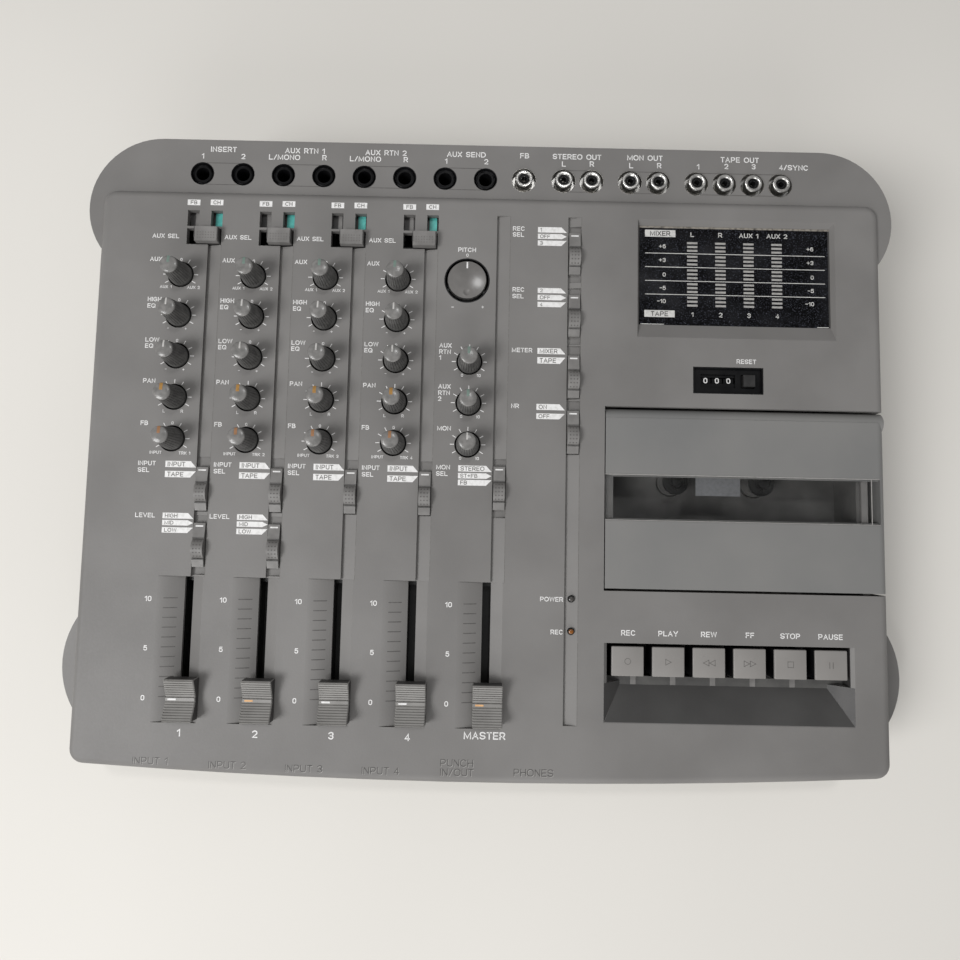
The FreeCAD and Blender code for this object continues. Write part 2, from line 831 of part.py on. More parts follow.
def lower_case():
    tub = box("-base_width / 2", "-base_front", "foot_height", "base_width",
              "base_front + deck_end_y", "2 * panel_height")
    shell = fuse(cut(tub, above_panel("panel_skin + seam_gap / 3")),
                 cut(fuse(*lobes("lobe_radius")), above_panel("lobe_drop")),
                 cut(deck_block(), above_panel("deck_drop")))
    inner_left = "-base_width / 2 + case_wall"
    inner_width = "base_width - 2 * case_wall"
    floor = "foot_height + case_floor"
    cavity = box(inner_left, "-base_front + case_wall", floor, inner_width,
                 "base_front + deck_reach - 2 * case_wall", "2 * panel_height")
    shell = cut(shell, cut(cavity, above_panel("deck_drop + case_wall")))
    top_room = box(inner_left, "-base_front + case_wall", "panel_height / 2", inner_width,
                   "base_front - case_wall + deck_front", "2 * panel_height")
    lobe_room = cut(fuse(*lobes("lobe_radius - case_wall")), above_panel("lobe_drop + case_wall"))
    lobe_room = cut(lobe_room, box("-panel_width", "-panel_width", "0", "2 * panel_width",
                                   "2 * panel_width", floor))
    shell = cut(shell, top_room, lobe_room)
    deck_holes = [cylinder(x, "socket_y", "-rim_depth", "phone_hole_radius", "2 * rim_depth")
                  for x in phone_places()]
    deck_holes += [cylinder(x, "socket_y", "-rim_depth", "phono_hole_radius", "2 * rim_depth")
                   for x in phono_places()]
    shell = cut(shell, on_panel(group(*deck_holes)))
    front_holes = []
    for number in range(6):
        hole = cylinder(front_socket_at(number), "-base_front + 2 * case_wall", "front_socket_z",
                        "phone_hole_radius", "4 * case_wall")
        hole.Placement.Rotation = FreeCAD.Rotation(V(1, 0, 0), 90)
        front_holes.append(hole)
    inlet = cylinder("inlet_x", "deck_end_y", "inlet_z", "inlet_radius + seam_gap / 3",
                     "2 * deck_end_radius")
    inlet.Placement.Rotation = FreeCAD.Rotation(V(1, 0, 0), -90)
    node("lower_case", cut(shell, *front_holes, inlet, on_panel(group(hinge_room()))))


def hinge_room():
    """The room that the walls under the door leave for its hinge barrel."""
    reach = "hinge_radius + 2 * door_gap"
    return box("door_left", f"hinge_line - ({reach})", f"hinge_height - ({reach})",
               "panel_width", f"2 * ({reach})", f"4 * ({reach})")


def phone_places():
    return [f"phone_x + {number} * phone_pitch" for number in range(8)]


def phono_places():
    starts = ["phono_single_x"]
    starts += [f"phono_stereo_x + {n} * phono_pitch" for n in range(2)]
    starts += [f"phono_monitor_x + {n} * phono_pitch" for n in range(2)]
    starts += [f"phono_tape_x + {n} * phono_pitch" for n in range(4)]
    return starts


def front_socket_at(number):
    return f"front_socket_x + {number} * strip_pitch"


# Sub-part: quarter-inch sockets, eight under the deck and six behind the front wall.

def phone_form():
    """A socket whose body hangs below z = 0, with a bush that stands in the wall's hole."""
    body = centred_box("0", "0", "-phone_length", "phone_body", "phone_body", "phone_length")
    bush = faceted(16, ("phone_bush_radius", "-case_wall"),
                   ("phone_bush_radius", "case_wall - phone_bush_sink"))
    bore = cylinder("0", "0", "-phone_bore_depth", "phone_bore_radius", "2 * phone_bore_depth")
    return cut(fuse(body, bush), bore)


def phone_jacks(form):
    deck = on_panel(group(*[copy_of(form, x, "socket_y", "-deck_drop - case_wall")
                            for x in phone_places()]))
    front = []
    for number in range(6):
        jack = copy_of(form, front_socket_at(number), "-base_front + case_wall", "front_socket_z")
        jack.Placement.Rotation = FreeCAD.Rotation(V(1, 0, 0), 90)
        front.append(jack)
    node("phone_jacks", group(deck, *front))


# Sub-part: phono sockets.

def phono_form():
    body = centred_box("0", "0", "-phono_body_height", "phono_body", "phono_body",
                       "phono_body_height")
    barrel = faceted(24, ("phono_barrel_radius", "-case_wall"),
                     ("phono_barrel_radius", "phono_barrel_length"))
    bore = cylinder("0", "0", "-phono_body_height / 2", "phono_bore_radius", "2 * phono_body_height")
    return cut(fuse(body, barrel), bore)


def phono_jacks(form):
    panel_node("phono_jacks", group(*[copy_of(form, x, "socket_y", "-deck_drop - case_wall")
                                      for x in phono_places()]))


# Sub-part: power inlet in the rear wall.

def lay_back(thing):
    """Turn a thing that stands on z = 0 so that its top faces the rear, flush with the rear wall."""
    thing.Placement = FreeCAD.Placement(V(0, 0, 0), FreeCAD.Rotation(V(1, 0, 0), -90))
    return place(thing, "inlet_x", "deck_reach - inlet_length", "inlet_z")


def dc_inlet():
    shell = cylinder("0", "0", "0", "inlet_radius", "inlet_length")
    bore = cylinder("0", "0", "case_wall", "inlet_bore_radius", "inlet_length")
    pin = cylinder("0", "0", "0", "inlet_pin_radius", "inlet_length - case_wall / 3")
    inlet = fuse(cut(shell, bore), pin)
    node("dc_inlet", lay_back(group(inlet)))


# Sub-part: knobs.

def knob_form():
    """A tapered knob with a skirt, flat flutes and a pointer slot, on a round shaft."""
    body = faceted(14, ("knob_radius", "-knob_sink"), ("knob_radius", "knob_skirt"),
                   ("knob_radius - knob_waist", "knob_skirt + knob_waist_height"),
                   ("knob_top_radius", "knob_height - knob_bevel"),
                   ("knob_top_radius - knob_bevel", "knob_height"))
    return fuse(cut(body, pointer_slot("knob_top_radius", "pointer_length", "knob_height")),
                knob_shaft())


def pointer_slot(reach, length, top):
    """A shallow slot in a knob's top that ends at its rear edge."""
    return box("-pointer_width / 2", f"{reach} - {length}", f"{top} - pointer_depth",
               "pointer_width", f"2 * {length}", "2 * pointer_depth")


def knob_shaft():
    return cylinder("0", "0", "-stem_length", "stem_radius", "stem_length - knob_sink / 2")


def pitch_form():
    """A flat milled disc with a pointer slot and a finger dimple, on the same shaft."""
    body = faceted(36, ("pitch_radius", "-knob_sink"),
                   ("pitch_radius", "pitch_height - pitch_bevel"),
                   ("pitch_radius - pitch_bevel", "pitch_height"))
    ball = "((dimple_radius ^ 2 + dimple_depth ^ 2) / (2 * dimple_depth))"
    dimple = doc.addObject("Part::Sphere", "Dimple")
    bind(dimple, Radius=ball)
    place(dimple, "0", "2 * dimple_radius - pitch_radius - pitch_bevel",
          f"pitch_height - dimple_depth + {ball}")
    return fuse(cut(body, pointer_slot("pitch_radius", "pitch_pointer", "pitch_height"), dimple),
                knob_shaft())


def knobs():
    form = knob_form()
    for name, x, y in knob_places():
        panel_node(name, copy_of(form, x, y))
    panel_node("pitch_knob", copy_of(pitch_form(), "pitch_x", row_at(0)))


# Sub-part: fader caps.

def fader_form():
    """A dished cap with a ridge across its middle, cross grooves and a blade below."""
    body = doc.addObject("PartDesign::Body", "FaderForm")
    end = "cap_length / 2"
    dish = "cap_ridge_height - cap_ridge_step"
    points = [(f"-{end}", "cap_lift"), (end, "cap_lift"),
              (f"{end} - cap_end_lean", "cap_end_height"),
              ("cap_ridge / 2", dish), ("cap_ridge / 2", "cap_ridge_height"),
              ("-cap_ridge / 2", "cap_ridge_height"), ("-cap_ridge / 2", dish),
              (f"cap_end_lean - {end}", "cap_end_height")]
    pad(body, profile(body, "YZ_Plane", points, {2: ("2 * cap_length", 1), 6: ("2 * cap_length", 1)}),
        "cap_width", midplane=True)
    grooves = []
    for number in range(5):
        y = f"(cap_ridge / 2 + ({number} + 0.8) * cap_groove_pitch)"
        lean = (f"(cap_end_height - ({dish})) * ({y} - cap_ridge / 2)"
                " / (cap_length / 2 - cap_ridge / 2)")
        z = f"{dish} - 1.3 * cap_groove_depth + {lean}"
        for side in (-1, 1):
            grooves.append(centred_box("0", f"{side} * {y}", z, "cap_width + 1", "cap_groove",
                                       "cap_end_height"))
    blade = centred_box("-cap_offset", "0", "-board_depth + fader_stem_gap",
                        "fader_stem_width", "fader_stem_length",
                        "board_depth - fader_stem_gap + cap_lift + cap_groove")
    return fuse(cut(body, *grooves), blade)


FADERS = ("fader_cap_1", "fader_cap_2", "fader_cap_3", "fader_cap_4", "master_fader_cap")


def faders():
    form = fader_form()
    for number, name in enumerate(FADERS):
        panel_node(name, copy_of(form, f"{fader_at(number)} + cap_offset", "fader_rest_y"))


# Sub-part: slide switches.

def slider_form():
    """A long flat cap with an arched finger hump and a stem below."""
    plate = centred_box("0", "0", "-slider_foot", "slider_width", "slider_length",
                        "slider_foot + slider_top")
    body = doc.addObject("PartDesign::Body", "SliderHump")
    points = [("slider_hump_shift - slider_hump_length / 2", "0"),
              ("slider_hump_shift + slider_hump_length / 2", "0")]
    radius = "((slider_hump_length ^ 2) / 4 + slider_hump ^ 2) / (2 * slider_hump)"
    pad(body, profile(body, "YZ_Plane", points, {1: (radius, 1)}), "slider_width", midplane=True)
    stem = centred_box("0", "0", "-slider_stem_length", "slider_stem", "slider_stem",
                       "slider_stem_length")
    return fuse(plate, body, stem)


def sliders():
    form = slider_form()
    for name, (places, travel) in SLIDERS.items():
        caps = [copy_of(form, x, f"{y} + {REST_SHIFT[travel]}") for x, y in places]
        panel_node(name, group(*caps))


def aux_slider_form():
    """A thumb slide with a dished pad, a plate under the panel and two coloured flags."""
    body = doc.addObject("PartDesign::Body", "AuxPad")
    half = "aux_cap_depth / 2"
    rail_foot = "-panel_skin - aux_rail_depth"
    points = [(f"-{half}", rail_foot), (half, rail_foot), (half, "aux_cap_height"),
              (f"aux_cap_slope - {half}", "aux_cap_height"), (f"-{half}", "0")]
    pad(body, profile(body, "YZ_Plane", points), "aux_cap_width", midplane=True)
    window = "flag_window_y - aux_slot_y"
    rail = box("-aux_cap_width / 2", "-aux_cap_depth / 2", rail_foot, "aux_cap_width",
               f"{window} + (flag_window_length + aux_cap_depth) / 2", "aux_rail_thickness")
    flags = [centred_box(x, window, f"{rail_foot} + aux_rail_thickness / 2", "flag_width",
                         "flag_window_length - 2 * moving_gap",
                         "aux_rail_depth - moving_gap - aux_rail_thickness / 2")
             for x in ("aux_cap_width / 2 - flag_width / 2", "-aux_cap_width / 4 - flag_width / 2")]
    return fuse(body, rail, *flags)


def aux_sliders():
    form = aux_slider_form()
    start = "aux_slot_left + aux_travel + moving_gap + aux_cap_width / 2"
    caps = [copy_of(form, f"{start} + {n} * strip_pitch", "aux_slot_y") for n in range(4)]
    panel_node("aux_select_sliders", group(*caps))


# Sub-part: mixer board with its potentiometers, faders, switches and lamps.

def pot(x, y):
    body = centred_box(x, y, "-board_depth", "pot_width", "pot_width", "pot_height")
    room = "2 * (stem_radius + stem_gap)"
    bore = centred_box(x, y, "-board_depth + pot_floor", room, room, "board_depth")
    return cut(body, bore)


def fader_body(number):
    body = centred_box(fader_at(number), SLOT_MIDDLE, "-board_depth", "fader_body_width",
                       SLOT_LENGTH, "fader_body_height")
    slot = centred_box(fader_at(number), SLOT_MIDDLE, "-board_depth + pot_floor",
                       "fader_slot_width", f"{SLOT_LENGTH} - 4 * pot_floor", "board_depth")
    return cut(body, slot)


def switch_body(x, y, travel):
    body = centred_box(x, f"{y} + {travel} / 2", "-board_depth", "slider_stem * 3",
                       f"slider_stem * 3 + {travel}", "switch_body_height")
    slot = centred_box(x, f"{y} + {travel} / 2", "-board_depth + 2 * pot_floor",
                       "slider_stem + 2 * stem_gap", f"slider_stem + {travel} + 2 * moving_gap",
                       "board_depth")
    return cut(body, slot)


def lamp(y):
    return cylinder("lamp_x", y, "-board_depth", "lamp_radius", "board_depth + lamp_rise")


def mixer_board():
    board = box("board_left", "board_front", "-board_depth - board_thickness",
                "board_right - board_left", "board_rear - board_front", "board_thickness")
    parts = [pot(x, y) for _, x, y in knob_places()]
    parts.append(pot("pitch_x", row_at(0)))
    parts += [fader_body(number) for number in range(5)]
    parts += [switch_body(x, y, travel) for places, travel in SLIDERS.values() for x, y in places]
    parts += [lamp("power_lamp_y"), lamp("record_lamp_y")]
    panel_node("mixer_board", group(board, *parts))


# Sub-part: level meter.

def meter():
    glass = box("meter_x - glass_width / 2 + seam_gap / 3", "glass_front + seam_gap / 3",
                "-glass_sink - glass_thickness", "glass_width - seam_gap * 2 / 3",
                "glass_rear - glass_front - seam_gap * 2 / 3", "glass_thickness")
    panel_node("meter_window", glass)
    top = "-glass_sink - glass_thickness - glass_ledge - seam_gap"
    card = box("meter_x - glass_width / 2", "glass_front", f"{top} - board_thickness", "glass_width",
               "glass_rear - glass_front", "board_thickness")
    bars = [centred_box(f"bar_x + {n} * bar_pitch", "(bar_front + bar_rear) / 2", top, "bar_width",
                        "bar_rear - bar_front", "bar_height") for n in range(4)]
    panel_node("meter_display", group(card, *bars))


# Sub-part: tape counter with its number wheels and reset button.

def tape_counter():
    width = "counter_width - seam_gap * 2 / 3"
    length = "counter_length - seam_gap * 2 / 3"
    depth = "(wheel_sink + wheel_radius + 2)"
    shell = centred_box("counter_x", "counter_y", f"-{depth}", width, length,
                        f"{depth} - seam_gap")
    dish = centred_box("counter_x", "counter_y", "-counter_sink", f"{width} - 1.2",
                       f"{length} - 1.2", "2 * counter_sink")
    room = centred_box("wheel_x + wheel_pitch", "counter_y", f"1 - {depth}",
                       "3 * wheel_pitch + 1.2", "2 * (wheel_radius + moving_gap)",
                       f"{depth} - 1 - counter_sink - counter_face")
    digits = centred_box("wheel_x + wheel_pitch", "counter_y", "-2 * counter_sink - counter_face",
                         "3 * wheel_pitch", "digit_window", "4 * counter_sink")
    well = "counter_sink + reset_depth + reset_travel + moving_gap"
    button = centred_box("reset_x", "counter_y", f"-({well})", "reset_size + 2 * moving_gap",
                         "reset_size + 2 * moving_gap", f"2 * ({well})")
    panel_node("tape_counter", cut(shell, dish, room, digits, button))


def counter_wheels():
    rims = []
    for number in range(3):
        rim = faceted(20, ("wheel_radius", "0"), ("wheel_radius", "wheel_width"))
        rim.Placement.Rotation = FreeCAD.Rotation(V(0, 1, 0), 90)
        rims.append(place(rim, f"wheel_x - wheel_width / 2 + {number} * wheel_pitch", "counter_y",
                          "-wheel_sink"))
    axle = lying_cylinder("wheel_x - wheel_width / 2 - 0.2", "counter_y", "-wheel_sink", "1.5",
                          "2 * wheel_pitch + wheel_width + 0.4")
    panel_node("counter_wheels", fuse(axle, *rims))


def reset_button():
    cap = centred_box("reset_x", "counter_y", "-counter_sink - reset_depth", "reset_size",
                      "reset_size", "reset_depth + reset_height")
    panel_node("reset_button", cap)


# Sub-part: cassette door and its window.

def door(blank):
    left = "door_left + door_gap"
    right = "panel_width / 2"
    front = "door_front + 2 * door_gap"
    rear = "door_rear - door_gap"
    outer = common(blank, box(left, front, "-rim_depth", "panel_width",
                                    f"{rear} - ({front})", "2 * rim_depth"))
    room = box(left, f"{front} - 1", "-2 * rim_depth", f"{right} - rim_wall - ({left})",
               "panel_width", "2 * rim_depth - door_skin")
    barrel = lying_cylinder(left, "hinge_line", "hinge_height", "hinge_radius",
                            f"{right} - ({left}) - door_gap")
    skin = cut(outer, room)
    tail = box(left, "hinge_line", "hinge_height", f"{right} - ({left}) + 1", "2 * hinge_radius",
               "2 * hinge_radius")
    swing = lying_cylinder(left, "hinge_line", "hinge_height", f"hinge_line - ({front})",
                           "panel_width")
    skin = common(cut(skin, tail), swing)
    below = box(left, "hinge_line - 2 * hinge_radius", "hinge_height - 2 * hinge_radius",
                "panel_width", "4 * hinge_radius", "2 * hinge_radius")
    skin = fuse(skin, cut(barrel, below), common(barrel, below))
    gaps = []
    for x in HINGE_EYES:
        gaps.append(lying_cylinder(f"{x} - door_gap", "hinge_line", "hinge_height",
                                   "hinge_eye_radius + 0.8 * door_gap",
                                   "hinge_eye_length + 2 * door_gap"))
        gaps.append(box(f"{x} - door_gap", f"hinge_line - hinge_radius - 1",
                        "-3 * hinge_radius", "hinge_eye_length + 2 * door_gap",
                        "3 * hinge_radius", "2 * hinge_radius - door_gap / 2"))
    core = lying_cylinder(left, "hinge_line", "hinge_height", "hinge_pin_radius",
                          f"{right} - ({left}) - 2 * rim_wall")
    glass_hole = box("door_left + door_gap + window_post", "window_front + window_ledge",
                     "-rim_depth", f"{right} - rim_wall - (door_left + door_gap + window_post)",
                     "window_rear - window_front - 2 * window_ledge", "2 * rim_depth")
    rebate = box("door_left", "window_front", "-window_sink - window_thickness",
                 f"{right} - rim_wall - (door_left)", "window_rear - window_front", "rim_depth")
    skin = fuse(cut(skin, *gaps), core)
    panel_node("cassette_door", cut(skin, glass_hole, rebate))
    window = box("door_left + door_gap", "window_front + seam_gap / 3",
                 "-window_sink - window_thickness",
                 f"{right} - rim_wall - (door_left + door_gap) - seam_gap / 3",
                 "window_rear - window_front - seam_gap * 2 / 3", "window_thickness")
    panel_node("door_window", window)


# Sub-part: cassette tray and reel spindles.

def spindle_places():
    return [f"spindle_x + {n} * spindle_pitch" for n in range(2)]


def hinge_eyes():
    """Two eyes on posts from the tray's floor, in front of and below the hinge line."""
    eyes = []
    for x in HINGE_EYES:
        post = box(x, f"hinge_line - hinge_eye_radius", "-well_floor - well_wall / 2",
                   "hinge_eye_length", "hinge_eye_radius + 0.2",
                   f"well_floor + well_wall / 2 + hinge_height")
        eye = lying_cylinder(x, "hinge_line", "hinge_height", "hinge_eye_radius", "hinge_eye_length")
        eyes.append(fuse(post, eye))
    return eyes


def cassette_tray():
    outer = box("well_left", "well_front", "-well_floor - well_wall", "well_right - well_left",
                "well_rear - well_front", "well_floor + well_wall - 1.6 * door_skin")
    inner = box("well_left + well_wall", "well_front + well_wall", "-well_floor",
                "well_right - well_left - 2 * well_wall", "well_rear - well_front - 2 * well_wall",
                "2 * well_floor")
    holes = [cylinder(x, "spindle_y", "-2 * well_floor", "spindle_flange + spindle_hole_gap",
                      "2 * well_floor") for x in spindle_places()]
    holes.append(cylinder("flywheel_x", "capstan_y", "-2 * well_floor", "2.5 * capstan_radius",
                          "2 * well_floor"))
    mouth = box("spindle_x - 8", "head_y - head_depth - moving_gap", "-2 * well_floor",
                "spindle_pitch + 16",
                "capstan_y - capstan_radius - roller_gap - head_y + head_depth + 2 * moving_gap",
                "2 * well_floor")
    shell = fuse(cut(outer, inner, hinge_room()), *hinge_eyes())
    bore = lying_cylinder("well_left", "hinge_line", "hinge_height", "hinge_pin_radius + hinge_pin_gap",
                          "panel_width / 2")
    panel_node("cassette_tray", cut(shell, mouth, bore, *holes))


def spindle_form():
    """A reel spindle: flange, round core with a cone end, and three driving fins."""
    shaft = cylinder("0", "0", "-plate_depth", "2 * capstan_radius",
                     "plate_depth - well_floor + flange_thickness / 2")
    flange = faceted(24, ("spindle_flange", "-well_floor"),
                     ("spindle_flange", "-well_floor + flange_thickness"))
    core = faceted(18, ("spindle_radius", "-well_floor"),
                   ("spindle_radius", "-spindle_top - spindle_tip"),
                   ("spindle_radius / 2", "-spindle_top"))
    return fuse(shaft, flange, core, *[fin_at(number) for number in range(3)])


def fin_at(number):
    """A fin whose inner edge is on the spindle's axis, turned to its place."""
    blade = centred_box("fin_reach / 2", "0", "-well_floor + flange_thickness / 2", "fin_reach",
                        "fin_width", "well_floor - spindle_top - 2 * spindle_tip")
    turned = doc.addObject("Part::Compound", "TurnedFin")
    turned.Links = [blade]
    turned.Placement = FreeCAD.Placement(V(0, 0, 0), FreeCAD.Rotation(V(0, 0, 1), 120 * number))
    return turned


def spindles():
    form = spindle_form()
    for name, x in zip(("supply_spindle", "takeup_spindle"), spindle_places()):
        panel_node(name, copy_of(form, x, "spindle_y"))


# Sub-part: tape transport.

PLATE_TOP = "-plate_depth"
PLATE_FOOT = "(-plate_depth - plate_thickness)"


def transport_plate():
    plate = box("well_left + 2", "key_pivot_y - 2 * key_hub_radius", PLATE_FOOT,
                "well_right - well_left - 4", "well_rear - key_pivot_y + 2 * key_hub_radius",
                "plate_thickness")
    bores = [cylinder(x, "spindle_y", "-2 * plate_depth", "2 * capstan_radius + hinge_pin_gap",
                      "4 * plate_depth") for x in spindle_places()]
    bores.append(cylinder("flywheel_x", "capstan_y", "-2 * plate_depth",
                          "capstan_radius + hinge_pin_gap", "4 * plate_depth"))
    brackets = [box(x, "key_pivot_y - 1.5 * key_shaft_radius", PLATE_TOP, "bracket_thickness",
                    "3 * key_shaft_radius", "plate_depth - key_pivot_depth")
                for x in ("well_left + 2", "well_right - 2 - bracket_thickness")]
    return cut(fuse(plate, *brackets), *bores)


def heads():
    """The record head, the erase head and the pinch roller, standing on the plate."""
    parts = [centred_box("spindle_x + spindle_pitch / 2", "head_y - head_depth / 2", PLATE_TOP,
                         "head_width", "head_depth", "plate_depth - well_floor + head_height"),
             centred_box("spindle_x", "head_y - head_depth / 2", PLATE_TOP,
                         "head_width / 2", "head_depth", "plate_depth - well_floor + head_height")]
    roller_y = "capstan_y - capstan_radius - roller_radius - roller_gap"
    pin = cylinder("flywheel_x", roller_y, PLATE_TOP, "capstan_radius",
                   "plate_depth - well_floor + 1")
    roller = cylinder("flywheel_x", roller_y, "-well_floor + 1", "roller_radius", "roller_height")
    return parts + [fuse(pin, roller)]


def tape_transport():
    flywheel = cylinder("flywheel_x", "capstan_y", f"{PLATE_FOOT} - flywheel_height - 1",
                        "flywheel_radius", "flywheel_height")
    capstan = cylinder("flywheel_x", "capstan_y", f"{PLATE_FOOT} - 2", "capstan_radius",
                       "plate_depth + plate_thickness + 2 - spindle_top")
    motor = cylinder("motor_x", "head_y + 10", f"{PLATE_FOOT} - motor_height", "motor_radius",
                     "motor_height")
    shaft = lying_cylinder("well_left + 2", "key_pivot_y", "-key_pivot_depth",
                           "key_shaft_radius", "well_right - well_left - 4")
    carrier = fuse(transport_plate(), shaft)
    panel_node("tape_transport", group(carrier, fuse(flywheel, capstan), motor, *heads()))


# Sub-part: transport keys.

def key_form():
    body = doc.addObject("PartDesign::Body", "KeyForm")
    points = [("key_front", "-key_depth"), ("key_rear", "-key_depth"), ("key_rear", "-key_top"),
              ("key_front + key_bevel", "-key_top"), ("key_front", "-key_top - key_bevel")]
    pad(body, profile(body, "YZ_Plane", points), "key_width", midplane=True)
    tip = "(key_front + key_lever_thickness)"
    arm = centred_box("0", f"(key_pivot_y + {tip}) / 2", "-key_pivot_depth - key_lever_thickness / 2",
                      "key_lever", f"key_pivot_y - {tip}", "key_lever_thickness")
    neck = centred_box("0", "(key_rear + key_front) / 2", "-key_pivot_depth", "key_lever",
                       "2 * key_lever_thickness", "key_pivot_depth - key_depth + key_bevel")
    hub = centred_box("0", "key_pivot_y", "-key_pivot_depth - key_hub_radius", "key_lever",
                      "2 * key_hub_radius", "2 * key_hub_radius")
    bore = lying_cylinder("-key_lever", "key_pivot_y", "-key_pivot_depth",
                          "key_shaft_radius + key_shaft_gap", "2 * key_lever")
    return cut(fuse(body, arm, neck, hub), bore)


KEYS = ("record_key", "play_key", "rewind_key", "fast_forward_key", "stop_key", "pause_key")


def keys():
    form = key_form()
    for number, name in enumerate(KEYS):
        x = f"key_left + key_width / 2 + {number} * key_pitch"
        panel_node(name, copy_of(form, x, "0"))


# Sub-part: rubber feet.

def rubber_feet():
    feet = [cylinder(f"{side} * foot_x", y, "0", "foot_radius", "foot_height")
            for side in (-1, 1) for y in ("-foot_front", "foot_rear")]
    node("rubber_feet", group(*feet))


def check_and_write():
    doc.recompute()
    for thing in doc.Objects:
        if "Invalid" in thing.State or "Error" in thing.State:
            raise RuntimeError(f"{thing.Name} ({thing.Label}) failed: {thing.State}")
    for name, thing in made.items():
        if thing.Shape.isNull() or not thing.Shape.isValid():
            raise RuntimeError(f"{name} has no valid shape")
        print(name, len(thing.Shape.Solids), round(thing.Shape.Volume), thing.Shape.BoundBox)
    os.makedirs("parts", exist_ok=True)
    for name, thing in made.items():
        thing.Shape.exportStep(f"parts/{name}.step")


panel_blank = slab()
upper_case(panel_blank)
lower_case()
phone_jacks(phone_form())
phono_jacks(phono_form())
dc_inlet()
knobs()
faders()
sliders()
aux_sliders()
mixer_board()
meter()
tape_counter()
counter_wheels()
reset_button()
door(panel_blank)
cassette_tray()
spindles()
tape_transport()
keys()
rubber_feet()
check_and_write()
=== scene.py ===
import json
import math
import bmesh
import bpy
from mathutils import Euler, Matrix, Vector
from mathutils.bvhtree import BVHTree

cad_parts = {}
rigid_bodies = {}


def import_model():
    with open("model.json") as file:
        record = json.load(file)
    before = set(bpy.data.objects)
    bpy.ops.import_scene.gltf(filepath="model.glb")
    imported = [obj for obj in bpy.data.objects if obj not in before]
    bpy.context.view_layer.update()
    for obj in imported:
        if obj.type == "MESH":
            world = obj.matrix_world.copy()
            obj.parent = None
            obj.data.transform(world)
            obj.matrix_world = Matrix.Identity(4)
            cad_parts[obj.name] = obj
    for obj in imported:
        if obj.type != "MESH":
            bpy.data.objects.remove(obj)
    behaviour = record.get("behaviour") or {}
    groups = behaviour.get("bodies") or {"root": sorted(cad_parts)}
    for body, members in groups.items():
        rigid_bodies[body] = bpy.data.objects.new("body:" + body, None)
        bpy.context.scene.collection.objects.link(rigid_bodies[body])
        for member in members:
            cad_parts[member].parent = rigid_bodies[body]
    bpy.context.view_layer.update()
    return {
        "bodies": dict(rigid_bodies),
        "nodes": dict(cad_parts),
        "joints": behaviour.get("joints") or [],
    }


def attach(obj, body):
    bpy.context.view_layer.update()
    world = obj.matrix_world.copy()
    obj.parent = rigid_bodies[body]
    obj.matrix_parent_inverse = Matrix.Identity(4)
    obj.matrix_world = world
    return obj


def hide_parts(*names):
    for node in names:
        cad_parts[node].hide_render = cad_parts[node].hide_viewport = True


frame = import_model()

# Lengths are in millimetres of the panel frame: X to the right, Y to the rear, Z out of the face,
# with the origin in the middle of the panel. toWorld carries them into the metres of the frame.
panel = dict(rise=62.0, shift=-0.15, stripPitch=35.1, deck=-3.0, glass=-2.6)
jointOf = {joint["child"]: joint for joint in frame["joints"]}
normal = Vector(jointOf["monitor_knob"]["axis"])
slope = math.atan2(-normal.y, normal.z)
toWorld = (Matrix.Translation((0, panel["shift"] / 1000, panel["rise"] / 1000))
           @ Matrix.Rotation(slope, 4, "X") @ Matrix.Scale(0.001, 4))
toPanel = toWorld.inverted()
channels = range(4)


def panelBox(node):
    corners = [toPanel @ vertex.co for vertex in frame["nodes"][node].data.vertices]
    low = Vector([min(corner[axis] for corner in corners) for axis in range(3)])
    high = Vector([max(corner[axis] for corner in corners) for axis in range(3)])
    return low, high


def centreOf(body):
    return toPanel @ Vector(jointOf[body]["pos_m"])


# materials

def colour(code):  # sRGB hex to linear
    parts = [int(code[k:k + 2], 16) / 255 for k in (1, 3, 5)]
    return [c / 12.92 if c <= 0.04045 else ((c + 0.055) / 1.055) ** 2.4 for c in parts] + [1.0]


def addNode(tree, kind, settings=None, links=None):
    node = tree.nodes.new(kind)
    for key, setting in (settings or {}).items():
        if isinstance(key, int) or key in node.inputs:
            node.inputs[key].default_value = setting
        else:
            setattr(node, key, setting)
    for key, (source, output) in (links or {}).items():
        tree.links.new(source.outputs[output], node.inputs[key])
    return node


def newMaterial(name, shaderSettings):
    material = bpy.data.materials.new(name)
    material.use_nodes = True
    tree = material.node_tree
    tree.nodes.clear()
    shader = addNode(tree, "ShaderNodeBsdfPrincipled", shaderSettings)
    addNode(tree, "ShaderNodeOutputMaterial", None, {"Surface": (shader, "BSDF")})
    return material, tree, shader


def perMetre(millimetres):  # scale of a pattern whose features are this wide
    return 1000.0 / millimetres


def noiseOn(tree, size, detail=3.0, stretch=(1, 1, 1), seed=(0, 0, 0)):
    place = addNode(tree, "ShaderNodeTexCoord")
    mapping = addNode(tree, "ShaderNodeMapping", {"Scale": stretch, "Location": seed},
                      {"Vector": (place, "Object")})
    return addNode(tree, "ShaderNodeTexNoise", {"Scale": perMetre(size), "Detail": detail},
                   {"Vector": (mapping, "Vector")})


def shades(tree, source, low, high, start=0.35, end=0.65):
    ramp = addNode(tree, "ShaderNodeValToRGB", None, {"Fac": (source, "Fac")})
    for element, place, code in zip(ramp.color_ramp.elements, (start, end), (low, high)):
        element.position = place
        element.color = colour(code)
    return ramp


def paint(tree, shader, source, low, high, start=0.35, end=0.65):
    ramp = shades(tree, source, low, high, start, end)
    tree.links.new(ramp.outputs["Color"], shader.inputs["Base Color"])


